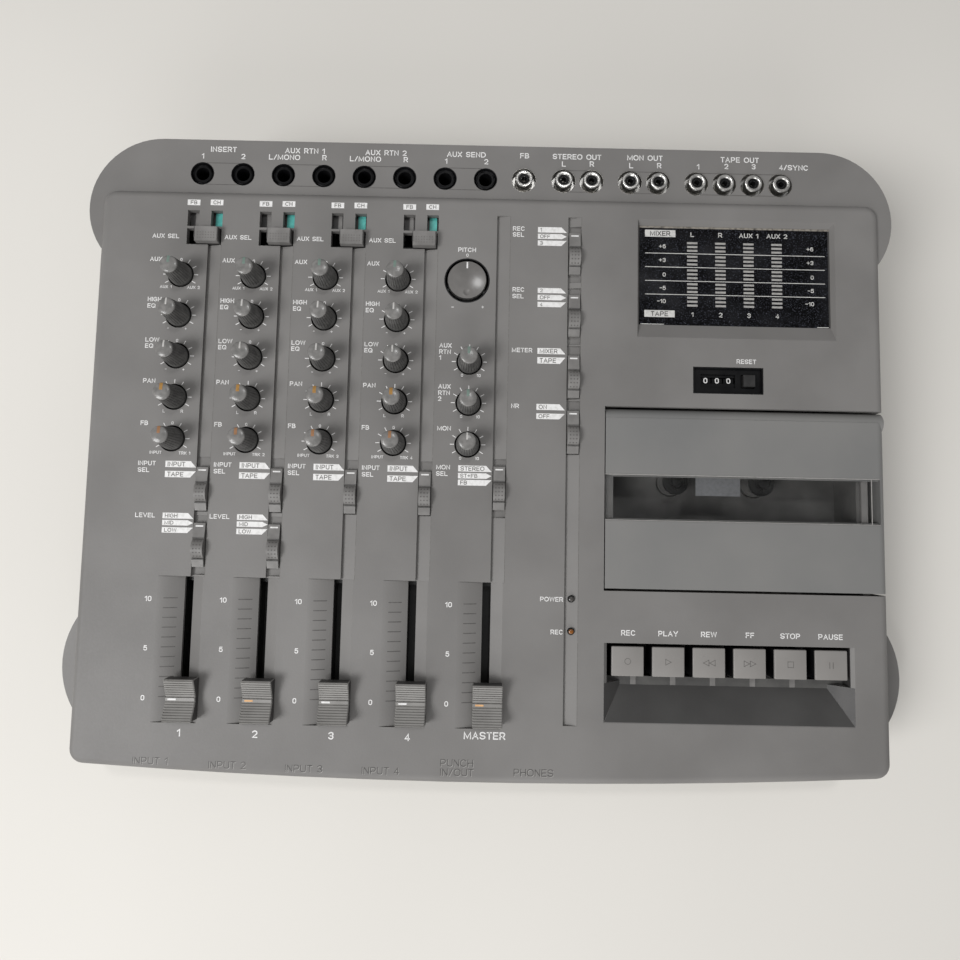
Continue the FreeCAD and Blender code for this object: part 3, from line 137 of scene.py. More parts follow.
def vary(tree, shader, socket, source, low, high, start=0.0, end=1.0):
    # the pattern's values from start to end run the socket from low to high
    span = addNode(tree, "ShaderNodeMapRange",
                   {"From Min": start, "From Max": end, "To Min": low, "To Max": high},
                   {"Value": (source, "Fac")})
    tree.links.new(span.outputs["Result"], shader.inputs[socket])


def mouldedPlastic(name, dark, light, patchSize, grainSize, rough, bump, gloss=0.5):
    # patches: handling marks; grain: the spark-eroded texture of the mould
    material, tree, shader = newMaterial(name, {"IOR": 1.5, "Specular IOR Level": gloss})
    paint(tree, shader, noiseOn(tree, patchSize, 4.0), dark, light)
    grain = noiseOn(tree, grainSize, 2.0)
    vary(tree, shader, "Roughness", grain, rough - 0.07, rough + 0.07)
    relief = addNode(tree, "ShaderNodeBump", {"Strength": bump, "Distance": 0.0001},
                     {"Height": (grain, "Fac")})
    tree.links.new(relief.outputs["Normal"], shader.inputs["Normal"])
    return material


def platedMetal(name, dark, light, patchSize, lineWidth, rough, stretch):
    # drawn steel under nickel: fine lines round the turned parts and a few dull patches
    material, tree, shader = newMaterial(name, {"Metallic": 1.0})
    paint(tree, shader, noiseOn(tree, patchSize, 3.0), dark, light)
    lines = noiseOn(tree, lineWidth, 2.0, stretch)
    vary(tree, shader, "Roughness", lines, rough - 0.08, rough + 0.1)
    return material


def screenInk(name, thin, full):
    # a printed layer: slightly thin in places, matt
    material, tree, shader = newMaterial(name, {"Roughness": 0.6})
    paint(tree, shader, noiseOn(tree, 1.6, 4.0), thin, full, 0.3, 0.55)
    return material


def smokedAcrylic(name, finish):
    # cast acrylic, nearly opaque, polished, with dust lying on it
    material, tree, shader = newMaterial(name, {"IOR": 1.49, "Specular IOR Level": 0.12})
    dust = noiseOn(tree, finish["dustSize"], 2.0)
    film = noiseOn(tree, finish["filmSize"], 5.0)
    specks = shades(tree, dust, finish["dark"], finish["dust"], 0.54, 0.8)
    haze = shades(tree, film, finish["dark"], finish["haze"], 0.4, 0.75)
    tint = addNode(tree, "ShaderNodeMix", {"data_type": "RGBA", "blend_type": "LIGHTEN", 0: 1.0},
                   {6: (specks, "Color"), 7: (haze, "Color")})
    tree.links.new(tint.outputs[2], shader.inputs["Base Color"])
    vary(tree, shader, "Roughness", film, 0.12, 0.4, 0.4, 0.75)
    return material


def clearAcrylic(name, finish):
    # injection-moulded clear cover: a thin grey haze of scratches wiped along its length
    material, tree, shader = newMaterial(name, {"IOR": 1.49})
    scratches = noiseOn(tree, finish["scratch"], 3.0, (0.06, 1, 1))
    film = noiseOn(tree, finish["film"], 5.0, (0.5, 1, 1), (0.3, 0.1, 0))
    paint(tree, shader, film, finish["dark"], finish["light"], 0.35, 0.75)
    vary(tree, shader, "Roughness", scratches, 0.05, 0.4, 0.5, 0.8)
    vary(tree, shader, "Alpha", film, finish["clear"], finish["worn"], 0.35, 0.75)
    return material


# plastics: dark and light colour, width of the patches and of the grain, roughness, bump and,
# where it isn't 0.5, gloss
plastics = {
    # textured ABS, moulded: matt, evenly grey, with faint handling marks
    "caseAbs": ("#6f6d6b", "#7a7876", 55, 0.9, 0.58, 0.35),
    "doorAbs": ("#727271", "#7c7b79", 70, 0.9, 0.55, 0.3),
    # the same ABS inside the finger recess, darkened as painted shade
    "recessPaintedShadeAbs": ("#3c3b3a", "#474645", 30, 0.9, 0.6, 0.3),
    # ABS of the controls, each in its own grey
    "knobAbs": ("#4e4d4c", "#666563", 4, 0.5, 0.45, 0.6),
    # the knob tops are the knobs' own plastic, made lighter as a painted sheen
    "knobTopPaintedSheenAbs": ("#6a6967", "#7f7d7b", 2.5, 0.6, 0.24, 0.12),
    "pitchAbs": ("#686664", "#747270", 9, 0.6, 0.15, 0.03, 0.14),
    "capAbs": ("#7f7d7a", "#8a8885", 9, 0.6, 0.45, 0.3),
    "resetAbs": ("#1e1d1d", "#2d2c2c", 4, 0.6, 0.35, 0.2),
    "leverAbs": ("#353433", "#413f3e", 12, 0.6, 0.5, 0.2),
    "sliderAbs": ("#6d6b69", "#7d7b79", 6, 0.6, 0.5, 0.3),
    "keyAbs": ("#827f7c", "#8a8784", 25, 0.7, 0.48, 0.25),
    "tealAbs": ("#4aa59e", "#5cb9b1", 3, 0.5, 0.4, 0.1),
    # black ABS and nylon inside, half gloss
    "blackAbs": ("#08080a", "#141415", 8, 0.6, 0.4, 0.3, 0.15),
    "hubNylon": ("#060607", "#0c0c0d", 8, 0.6, 0.3, 0.05, 0.2),
    "wellAbs": ("#454443", "#565553", 14, 0.8, 0.5, 0.3),
    # glass-cloth board under black varnish
    "boardLaminate": ("#0d0e0c", "#171815", 3, 0.7, 0.35, 0.2),
    # natural rubber, dusty
    "footRubber": ("#161616", "#262524", 5, 0.8, 0.8, 0.5),
    # tinted lenses of lamps that are off
    "lampLens": ("#2e2c2a", "#4a4744", 2, 0.5, 0.2, 0.05),
    "amberLens": ("#3f2a12", "#94591c", 2, 0.5, 0.2, 0.05),
}
# metals: dark and light colour, width of the patches and of the lines, roughness, stretch
metals = {
    "nickel": ("#a9a8a6", "#d8d6d2", 2, 0.4, 0.26, (1, 1, 8)),
    "darkNickel": ("#161617", "#262627", 2, 0.4, 0.35, (1, 1, 8)),
    "zincSteel": ("#8d8b87", "#b3b0aa", 9, 0.5, 0.38, (1, 8, 1)),
}
# printed or painted layers: colour where the layer is thin and where it is full
inks = {
    "whiteInk": ("#d4d3d1", "#e6e5e4"), "wornInk": ("#a9a7a4", "#bfbdba"),
    "greyInk": ("#b4b3b0", "#cbcac7"), "segmentInk": ("#8d8b89", "#a09e9b"),
    "openInk": ("#787673", "#666461"), "signInk": ("#686663", "#5d5b58"),
    # the cut ink is painted shade inside engraved strokes, the edge ink painted highlights on edges
    "markInk": ("#5d5b59", "#504e4c"), "cutShadeInk": ("#595755", "#4a4846"),
    "darkInk": ("#4a4948", "#363534"), "edgeHighlightInk": ("#8f8d8a", "#9b9996"),
    "amberInk": ("#8f6a33", "#a57a3a"), "orangeInk": ("#83603f", "#946a48"),
    "peachInk": ("#c99762", "#dcae7a"), "tealInk": ("#6b7871", "#6c8077"),
    # dust caught along an edge, and a faded paper label
    "dustInk": ("#4b4742", "#8b857c"), "labelPaper": ("#5a5b5d", "#646567"),
}
smoked = dict(dark="#040405", dust="#4a4c55", haze="#1c1c1f", dustSize=0.6, filmSize=18)
clear = dict(dark="#343434", light="#6a6a68", clear=0.03, worn=0.16, scratch=0.8, film=14)
looks = {name: mouldedPlastic(name, *finish) for name, finish in plastics.items()}
looks.update({name: platedMetal(name, *finish) for name, finish in metals.items()})
looks.update({name: screenInk(name, *finish) for name, finish in inks.items()})
looks["smokedAcrylic"] = smokedAcrylic("smokedAcrylic", smoked)
looks["clearAcrylic"] = clearAcrylic("clearAcrylic", clear)
print("materials", len(looks))

cadLooks = {
    "upper_case": "caseAbs", "lower_case": "caseAbs", "cassette_door": "doorAbs",
    "meter_window": "smokedAcrylic", "door_window": "clearAcrylic", "meter_display": "blackAbs",
    "mixer_board": "boardLaminate", "phono_jacks": "nickel", "tape_transport": "zincSteel",
    "rubber_feet": "footRubber", "cassette_tray": "wellAbs", "aux_select_sliders": "leverAbs",
    "reset_button": "resetAbs", "supply_spindle": "wellAbs", "takeup_spindle": "wellAbs",
}


def lookOf(node):
    if node in cadLooks:
        return cadLooks[node]
    for ending, look in (("_knob", "knobAbs"), ("_key", "blackAbs"), ("slider", "sliderAbs"),
                         ("sliders", "sliderAbs"), ("fader_cap", "capAbs")):
        if node.endswith(ending) or ending in node and ending in ("_knob", "fader_cap"):
            return look
    return "blackAbs"


for nodeName, nodeObject in frame["nodes"].items():
    if not nodeObject.material_slots:
        nodeObject.data.materials.append(looks[lookOf(nodeName)])
    for materialSlot in nodeObject.material_slots:
        materialSlot.material = looks[lookOf(nodeName)]


# mesh helpers: a shape is a bmesh in millimetres

def addFaces(shape, corners, faces, material=0):
    vertices = [shape.verts.new(corner) for corner in corners]
    for face in faces:
        shape.faces.new([vertices[index] for index in face]).material_index = material
    return vertices


def addPrism(shape, outline, base, top, material=0):
    # outline runs anticlockwise seen from above
    count = len(outline)
    corners = [(x, y, base) for x, y in outline] + [(x, y, top) for x, y in outline]
    faces = [list(range(count - 1, -1, -1)), list(range(count, 2 * count))]
    faces += [[k, (k + 1) % count, (k + 1) % count + count, k + count] for k in range(count)]
    return addFaces(shape, corners, faces, material)


def addBlock(shape, low, high, material=0):
    outline = [(low[0], low[1]), (high[0], low[1]), (high[0], high[1]), (low[0], high[1])]
    return addPrism(shape, outline, low[2], high[2], material)


def addLathe(shape, profile, sides, material=0, centre=(0, 0, 0), ripple=None, closed=False):
    # profile: (radius, height) from the foot outwards and up; closed joins its last to its first
    # ripple(step, angleIndex) gives a change of the radius
    rings = []
    for step, (radius, height) in enumerate(profile):
        if radius == 0:
            rings.append([shape.verts.new(Vector(centre) + Vector((0, 0, height)))])
            continue
        ring = []
        for index in range(sides):
            angle = 2 * math.pi * index / sides
            reach = radius + (ripple(step, index) if ripple else 0)
            ring.append(shape.verts.new(Vector(centre) + Vector(
                (reach * math.cos(angle), reach * math.sin(angle), height))))
        rings.append(ring)
    pairs = list(zip(rings, rings[1:]))
    if closed:
        pairs.append((rings[-1], rings[0]))
    for step, (lower, upper) in enumerate(pairs):
        index = material(step) if callable(material) else material
        for k in range(sides):
            following = (k + 1) % sides
            if len(lower) == 1:
                corners = [lower[0], upper[following], upper[k]]
            elif len(upper) == 1:
                corners = [lower[k], lower[following], upper[0]]
            else:
                corners = [lower[k], lower[following], upper[following], upper[k]]
            shape.faces.new(corners).material_index = index
    return rings


def addSections(shape, sections, material=0):
    # a loft through sections of equal counts, with flat ends
    rings = [[shape.verts.new(point) for point in section] for section in sections]
    count = len(rings[0])
    for first, second in zip(rings, rings[1:]):
        for k in range(count):
            following = (k + 1) % count
            shape.faces.new([first[k], first[following], second[following],
                             second[k]]).material_index = material
    shape.faces.new(rings[0][::-1]).material_index = material
    shape.faces.new(rings[-1]).material_index = material


def addStroke(shape, points, width, base, top, material=0, closed=True):
    # a drawn line of straight strokes with square ends
    ends = list(zip(points, points[1:] + points[:1])) if closed else list(zip(points, points[1:]))
    for start, end in ends:
        along = (Vector(end) - Vector(start)).normalized() * width / 2
        across = Vector((along.y, -along.x))
        first, last = Vector(start) - along, Vector(end) + along
        outline = [first + across, last + across, last - across, first - across]
        addPrism(shape, [tuple(corner) for corner in outline], base, top, material)


def finishPiece(name, shape, body, materials, matrix=toWorld, crease=32):
    bmesh.ops.recalc_face_normals(shape, faces=shape.faces)
    mesh = bpy.data.meshes.new(name)
    shape.to_mesh(mesh)
    shape.free()
    return placeMesh(name, mesh, body, materials, matrix, crease)


def placeMesh(name, mesh, body, materials, matrix=toWorld, crease=32):
    mesh.transform(matrix)
    for look in materials:
        if looks[look].name not in mesh.materials:
            mesh.materials.append(looks[look])
    mesh.shade_smooth()
    mesh.set_sharp_from_angle(angle=math.radians(crease))
    piece = bpy.data.objects.new(name, mesh)
    bpy.context.scene.collection.objects.link(piece)
    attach(piece, body)
    return piece


# what repeats: Geometry Nodes put one small form on each point

def repeatTree(name, form, sizes, look):
    # form: block or stud; each point's attribute "spin" turns its copy
    tree = bpy.data.node_groups.new(name, "GeometryNodeTree")
    tree.interface.new_socket("Geometry", in_out="INPUT", socket_type="NodeSocketGeometry")
    keys = {}
    for size in sizes:
        socket = tree.interface.new_socket(size, in_out="INPUT", socket_type="NodeSocketFloat")
        keys[size] = socket.identifier
    tree.interface.new_socket("Geometry", in_out="OUTPUT", socket_type="NodeSocketGeometry")
    given = addNode(tree, "NodeGroupInput")
    if form == "block":
        extent = addNode(tree, "ShaderNodeCombineXYZ", None, {
            "X": (given, "Width"), "Y": (given, "Length"), "Z": (given, "Height")})
        copy = addNode(tree, "GeometryNodeMeshCube", None, {"Size": (extent, "Vector")})
    else:
        copy = addNode(tree, "GeometryNodeMeshCylinder", {"Vertices": 12}, {
            "Radius": (given, "Radius"), "Depth": (given, "Height")})
    spin = addNode(tree, "GeometryNodeInputNamedAttribute",
                   {"data_type": "FLOAT_VECTOR", "Name": "spin"})
    turn = addNode(tree, "FunctionNodeEulerToRotation", None, {"Euler": (spin, "Attribute")})
    copies = addNode(tree, "GeometryNodeInstanceOnPoints", None, {
        "Points": (given, "Geometry"), "Instance": (copy, "Mesh"), "Rotation": (turn, "Rotation")})
    real = addNode(tree, "GeometryNodeRealizeInstances", None, {"Geometry": (copies, "Instances")})
    inked = addNode(tree, "GeometryNodeSetMaterial", {"Material": looks[look]},
                    {"Geometry": (real, "Geometry")})
    addNode(tree, "NodeGroupOutput", None, {"Geometry": (inked, "Geometry")})
    return tree, keys


def repeatForm(name, form, places, sizes, body, look, matrix=toWorld):
    # places: (point, turn about X, Y and Z)
    points = bpy.data.meshes.new(name + "Points")
    points.from_pydata([tuple(point) for point, _ in places], [], [])
    spins = points.attributes.new("spin", "FLOAT_VECTOR", "POINT")
    for index, (_, spin) in enumerate(places):
        spins.data[index].vector = spin
    holder = bpy.data.objects.new(name + "Holder", points)
    bpy.context.scene.collection.objects.link(holder)
    tree, keys = repeatTree(name + "Tree", form, list(sizes), look)
    modifier = holder.modifiers.new("repeat", "NODES")
    modifier.node_group = tree
    for size, amount in sizes.items():
        modifier[keys[size]] = float(amount)
    bpy.context.view_layer.update()
    evaluated = holder.evaluated_get(bpy.context.evaluated_depsgraph_get())
    mesh = bpy.data.meshes.new_from_object(evaluated)
    holder.modifiers.remove(modifier)
    bpy.data.objects.remove(holder)
    mesh.name = name
    if "spin" in mesh.attributes:
        mesh.attributes.remove(mesh.attributes["spin"])
    return placeMesh(name, mesh, body, [look], matrix)


# lettering: each sign is drawn in strokes on a grid twelve high, its points written as
# pairs of hexadecimal digits and its width first

lettering = dict(grid=12, thickness=0.03, weight=0.165, gap=0.15, space=4, mitre=1.6)
signs = {
    "A": "a 005ca0 2484", "B": "9 0666888a6c0c0060929466", "C": "a 9a8b6c4c2b09032140608192",
    "D": "a 000c5c8ba8a4815000", "E": "8 8c0c0080 0676", "F": "8 8c0c00 0676",
    "G": "a 9a8b6c4c2b090321406081a3a666", "H": "9 000c 909c 0696", "I": "0 000c",
    "J": "7 7c736140301103", "K": "9 000c 9c04 3790", "L": "8 0c0080", "M": "c 000c61ccc0",
    "N": "9 000c909c", "O": "b 4c7c9bb9b39170402103092b4c", "P": "9 000c6c8b99866505",
    "Q": "b 4c7c9bb9b39170402103092b4c 74b0", "R": "9 000c6c8b99866505 5590",
    "S": "9 9a8b6c3c1b0a0817268594928160301102", "T": "8 404c 0c8c", "U": "9 0c0311306081939c",
    "V": "a 0c50ac", "W": "e 0c307cb0ec", "X": "9 009c 0c90", "Y": "a 0c55ac 5550",
    "Z": "9 0c9c0090", "0": "8 3c5c7b89837150301103091b3c", "1": "4 094c40",
    "2": "8 0a1b3c5c7b8987760080", "3": "8 0a1b3c5c7b89775636 5675837150301102",
    "4": "8 606c0383", "5": "8 7c1c0638587785837150301102",
    "6": "8 7b5c3c1b080311305071838577583805", "7": "8 0c8c30",
    "8": "8 3617091b3c5c7b89775636150311305071837556", "9": "8 1130507184897b5c3c1b090715345487",
    "/": "6 006c", "+": "8 0686 4a42", "-": "6 0666",
}


def strokesOf(sign):
    width, *lines = signs[sign].split()
    return int(width, 16), [[(int(line[k], 16), int(line[k + 1], 16))
                             for k in range(0, len(line), 2)] for line in lines]


def addRibbon(shape, points, width, base, top, material, pace=None):
    # a mitred ribbon along the points, with square ends; pace divides its long runs
    closed = (points[0] - points[-1]).length < 1e-6
    points = points[:-1] if closed else points
    if pace:
        runs = list(zip(points, points[1:] + points[:1] if closed else points[1:]))
        finer = []
        for start, end in runs:
            count = max(1, math.ceil((end - start).length / pace))
            finer += [start.lerp(end, k / count) for k in range(count)]
        points = finer if closed else finer + [points[-1]]
    count = len(points)
    half = width / 2
    pairs = []
    for k, point in enumerate(points):
        before = points[k - 1] if k or closed else None
        after = points[(k + 1) % count] if k < count - 1 or closed else None
        inward = (point - before).normalized() if before is not None else None
        onward = (after - point).normalized() if after is not None else None
        if inward is None:
            point, inward = point - onward * half, onward
        if onward is None:
            point, onward = point + inward * half, inward
        side = Vector((-inward.y - onward.y, inward.x + onward.x))
        reach = 2 * half / max(side.length, 1e-6)
        side = side.normalized() * min(reach, lettering["mitre"] * half)
        pairs.append((point + side, point - side))
    rings = [[shape.verts.new((corner.x, corner.y, height)) for corner, height in
              ((left, base), (right, base), (right, top), (left, top))] for left, right in pairs]
    runs = list(zip(rings, rings[1:])) + ([(rings[-1], rings[0])] if closed else [])
    for first, second in runs:
        for k in range(4):
            following = (k + 1) % 4
            shape.faces.new([first[k], second[k], second[following],
                             first[following]]).material_index = material
    if not closed:
        shape.faces.new(rings[0]).material_index = material
        shape.faces.new(rings[-1][::-1]).material_index = material


def addWords(shape, words, place, height, material=0, align="centre", stretch=1.0, weight=None,
             thickness=None, pace=None):
    # height is that of a capital letter; place is the middle or an end of the line
    stroke = height * (weight or lettering["weight"])
    scale = (height - stroke) / lettering["grid"]
    gap = stroke + height * lettering["gap"]
    widths = [lettering["space"] * scale if sign == " " else strokesOf(sign)[0] * scale * stretch
              for sign in words]
    total = sum(widths) + gap * (len(words) - 1)
    x = place[0] + {"left": stroke / 2, "centre": -total / 2, "right": -total - stroke / 2}[align]
    base, top = place[2], place[2] + (thickness or lettering["thickness"])
    for sign, width in zip(words, widths):
        if sign != " ":
            for line in strokesOf(sign)[1]:
                foot = place[1] - lettering["grid"] / 2 * scale
                points = [Vector((x + across * scale * stretch, foot + up * scale))
                          for across, up in line]
                addRibbon(shape, points, stroke, base, top, material, pace)
        x += width + gap


stripX = [centreOf(f"aux_knob_{number + 1}").x for number in channels]
rowY = [centreOf(f"{row}_knob_1").y for row in ("aux", "high_eq", "low_eq", "pan", "foldback")]
masterX = centreOf("monitor_knob").x

# printed labels with their words left open in them
flag = dict(notch=2.6, indent=1.1, fill=0.72, boxFill=0.7, weight=0.16, relief=0.02, sink=0.01)


def writeAll(shape, places, size, align="centre", level=0.0, **style):
    for words, x, y in places:
        addWords(shape, words, (x, y, level), size, align=align, **style)


def writeOpen(knockout, words, place, size, align):
    addWords(knockout, words, place, size, align=align, weight=flag["weight"],
             thickness=flag["relief"])


def addFlags(white, knockout, left, right, rows, words):
    # labels with their points at the slider; rows: (bottom, top) of each
    top = lettering["thickness"]
    inner = right - flag["notch"]
    for number, ((front, rear), word) in enumerate(zip(rows, words)):
        if number == 0:
            point = [(right, front), (inner, rear)]
        elif number == len(rows) - 1:
            point = [(inner, front), (right, rear)]
        else:
            point = [(inner, front), (right, (front + rear) / 2), (inner, rear)]
        addPrism(white, [(left, front), *point, (left, rear)], -flag["sink"], top)
        writeOpen(knockout, word, (left + flag["indent"], (front + rear) / 2, top),
                  flag["fill"] * (rear - front), "left")


def addBox(white, knockout, word, x, y, width, height, level=0.0):
    top = level + lettering["thickness"]
    addBlock(white, (x - width / 2, y - height / 2, level - flag["sink"]),
             (x + width / 2, y + height / 2, top))
    writeOpen(knockout, word, (x, y, top), flag["boxFill"] * height, "centre")


# words of one channel, which every channel repeats
# names: (row, word, its distance behind the row); input and level: (rows of the flags, words)
strip = dict(
    small=2.15, left=-15.2,
    names=[(0, "AUX", 7.5), (1, "HIGH", 7.5), (1, "EQ", 4.3), (2, "LOW", 7.6), (2, "EQ", 4.6),
           (3, "PAN", 7.6), (4, "FB", 7.2)],
    auxX=-8.2, auxY=102.7, boxes=[("FB", 4.6, 119.8), ("CH", 15.8, 120.0)], boxSize=(6.2, 2.8),
    select=[("INPUT", -8.4), ("SEL", -11.6)], selectShift=0.8, levelStrips=2, levelY=-33.0,
    flagLeft=-2.3, flagRight=12.3,
    input=([(-10.1, -7.1), (-14.9, -11.9)], ("INPUT", "TAPE")),
    level=([(-34.4, -31.7), (-37.6, -35.1), (-41.1, -38.5)], ("HIGH", "MID", "LOW")),
    number=3.4, numberX=10.6, numberY=-132.7, masterX=1.9, masterY=-131.3,
    scale=2.4, scaleX=-6.9, faderScale=[("10", -71.9), ("5", -94.6), ("0", -117.3)])


def stripWords(white, knockout):
    size = strip["small"]
    for number, x in enumerate(stripX):
        left = x + strip["left"]
        shift = strip["selectShift"] if number else 0
        names = [(word, left, rowY[row] + rise) for row, word, rise in strip["names"]]
        names += [(word, left + shift, y) for word, y in strip["select"]]
        ends = (x + strip["flagLeft"], x + strip["flagRight"])
        addFlags(white, knockout, *ends, *strip["input"])
        if number < strip["levelStrips"]:
            names.append(("LEVEL", left, strip["levelY"]))
            addFlags(white, knockout, *ends, *strip["level"])
        writeAll(white, names, size, "left")
        addWords(white, "AUX SEL", (x + strip["auxX"], strip["auxY"], 0), size)
        for word, right, y in strip["boxes"]:
            addBox(white, knockout, word, x + right, y, *strip["boxSize"])
        addWords(white, str(number + 1), (x + strip["numberX"], strip["numberY"], 0),
                 strip["number"])
    for number in range(5):
        x = stripX[0] + number * panel["stripPitch"] + strip["scaleX"]
        writeAll(white, [(word, x, y) for word, y in strip["faderScale"]], strip["scale"])
    addWords(white, "MASTER", (strip["masterX"], strip["masterY"], 0), strip["number"])


# words that stand once on the panel: (height, align, places); flags: (left, right, rows, words)
master = dict(
    left=-23.5, names=[(2, "AUX", 7.8), (2, "RTN", 4.7), (2, "1", 1.8), (3, "AUX", 7.8),
                       (3, "RTN", 4.7), (3, "2", 1.8), (4, "MON", 7.6)],
    words=[
        (2.15, "left", [("MON", -23.5, -7.4), ("SEL", -23.5, -10.5), ("REC", 10.9, 110.1),
                        ("SEL", 10.9, 107.1), ("REC", 11.2, 79.7), ("SEL", 11.2, 76.4),
                        ("METER", 11.4, 49.9), ("NR", 11.5, 22.7)]),
        (2.15, "centre", [("POWER", 32.0, -68.4), ("REC", 34.6, -83.5), ("RESET", 124.2, 46.5)]),
        (2.2, "centre", [("PITCH", -11.2, 98.9)]), (1.5, "centre", [("0", -11.0, 96.2)]),
        (2.0, "centre", [("-", -17.6, 70.3)]), (1.6, "centre", [("+", -3.1, 70.6)]),
        (2.5, "centre", [("REC", 68.0, -83.2), ("PLAY", 86.6, -83.2), ("REW", 105.6, -83.2),
                         ("FF", 124.8, -83.2), ("STOP", 143.6, -83.2), ("PAUSE", 162.4, -83.2)])],
    flags=[
        (-13.1, 2.8, [(-9.3, -6.4), (-12.6, -10.0), (-15.9, -13.2)], ("STEREO", "ST+FB", "FB")),
        (23.1, 37.2, [(108.4, 111.1), (105.2, 107.7), (101.8, 104.4)], ("1", "OFF", "3")),
        (23.4, 37.2, [(78.2, 80.7), (74.7, 77.3), (71.3, 73.8)], ("2", "OFF", "4")),
        (23.7, 37.2, [(48.2, 51.1), (43.5, 46.6)], ("MIXER", "TAPE")),
        (23.6, 37.2, [(21.0, 23.9), (16.6, 19.3)], ("ON", "OFF"))])
deckWords = dict(size=2.7, words=[
    ("INSERT", -133.0, 148.8), ("1", -143.2, 145.2), ("2", -123.2, 145.3),
    ("AUX RTN 1", -92.8, 148.9), ("L/MONO", -102.8, 145.4), ("R", -83.0, 145.6),
    ("AUX RTN 2", -52.6, 148.8), ("L/MONO", -62.7, 145.4), ("R", -42.7, 145.5),
    ("AUX SEND", -12.7, 148.8), ("1", -22.7, 145.2), ("2", -2.8, 145.3), ("FB", 16.2, 148.8),
    ("STEREO OUT", 42.2, 148.8), ("L", 35.7, 145.0), ("R", 49.6, 145.3),
    ("MON OUT", 75.9, 149.0), ("L", 69.1, 144.9), ("R", 83.0, 145.2), ("TAPE OUT", 123.0, 149.0),
    ("1", 102.3, 145.1), ("2", 116.3, 145.5), ("3", 129.9, 145.7), ("4/SYNC", 149.7, 145.6)])


def masterWords(white, knockout):
    names = [(word, master["left"], rowY[row] + rise) for row, word, rise in master["names"]]
    writeAll(white, names, strip["small"], "left")
    for size, align, places in master["words"]:
        writeAll(white, places, size, align)
    for left, right, rows, words in master["flags"]:
        addFlags(white, knockout, left, right, rows, words)
    writeAll(white, deckWords["words"], deckWords["size"], level=panel["deck"])


scaleMarks = dict(ring=7.5, step=30, span=120, top=7.4, small=1.45,
                  tick=dict(Width=0.36, Length=1.9, Height=lettering["thickness"]))
# legends at the ends of a knob's scale: (word, right, forward) of each, and a nought at its top
scaleEnds = {
    "aux": (("AUX 1", -6.9, 6.2), ("AUX 2", 6.5, 6.3), True),
    "eq": (("-", -4.7, 6.6), ("+", 3.8, 6.7), True),
    "pan": (("L", -4.5, 6.9), ("R", 4.1, 6.9), False),
    "fb": (("INPUT", -7.3, 6.8), ("TRK", 6.4, 6.9), True),
    "master": (("0", -3.4, 6.6), ("10", 4.6, 6.6), False),
}


def knobScales(white):
    # writes the legends, and returns the places of the marks every 30 degrees between them
    places = []
    kinds = ("aux", "eq", "eq", "pan", "fb")
    scales = [(x, rowY[row], kinds[row], number) for row in range(5)
              for number, x in enumerate(stripX)]
    scales += [(masterX, rowY[row], "master", 4) for row in (2, 3, 4)]
    for x, y, kind, number in scales:
        *ends, nought = scaleEnds[kind]
        for word, right, forward in ends:
            word = f"{word} {number + 1}" if word == "TRK" else word
            addWords(white, word, (x + right, y - forward, 0), scaleMarks["small"])
        if nought:
            addWords(white, "0", (x, y + scaleMarks["top"], 0), scaleMarks["small"])
        for angle in range(-scaleMarks["span"], scaleMarks["span"] + 1, scaleMarks["step"]):
            if angle == 0 and nought:
                continue
            clock = math.radians(90 - angle)
            places.append(((x + scaleMarks["ring"] * math.cos(clock),
                            y + scaleMarks["ring"] * math.sin(clock),
                            lettering["thickness"] / 2), (0, 0, clock - math.pi / 2)))
    return places


whiteWords, openWords = bmesh.new(), bmesh.new()
stripWords(whiteWords, openWords)
masterWords(whiteWords, openWords)
ticks = knobScales(whiteWords)
finishPiece("panelWords", whiteWords, "root", ["whiteInk"])
finishPiece("openWords", openWords, "root", ["openInk"])
repeatForm("knobTicks", "block", ticks, scaleMarks["tick"], "root", "whiteInk")
print("lettering done")


# words engraved along the front edge, laid onto the rounded edge of the case

# strokes: the painted shade of the cut and the painted highlight on its far edge: (name, ink,
# shift, lift)
frontWords = dict(
    size=3.3, weight=0.12, pace=0.7, above=30,
    strokes=[("frontWords", "cutShadeInk", (0, 0), 0.03),
             ("frontWordHighlights", "edgeHighlightInk", (0.22, -0.26), 0.02)],
    labels=[("INPUT 1", -151.4, -145.6), ("INPUT 2", -116.0, -146.8), ("INPUT 3", -80.8, -147.7),
            ("INPUT 4", -45.6, -148.0), ("PUNCH", -10.6, -143.8), ("IN/OUT", -10.5, -148.0),
            ("PHONES", 24.7, -147.5)])


def addFrontWords():
    case = frame["nodes"]["upper_case"].data
    corners = [toPanel @ vertex.co for vertex in case.vertices]
    tree = BVHTree.FromPolygons(corners, [list(polygon.vertices) for polygon in case.polygons])
    for name, ink, (right, rear), lift in frontWords["strokes"]:
        shape = bmesh.new()
        writeAll(shape, [(words, x + right, y + rear) for words, x, y in frontWords["labels"]],
                 frontWords["size"], weight=frontWords["weight"], thickness=lift,
                 pace=frontWords["pace"])
        for vertex in shape.verts:
            start = Vector((vertex.co.x, vertex.co.y, frontWords["above"]))
            hit = tree.ray_cast(start, Vector((0, 0, -1)))[0]
            if hit:
                vertex.co.z += hit.z
        finishPiece(name, shape, "root", [ink])


addFrontWords()
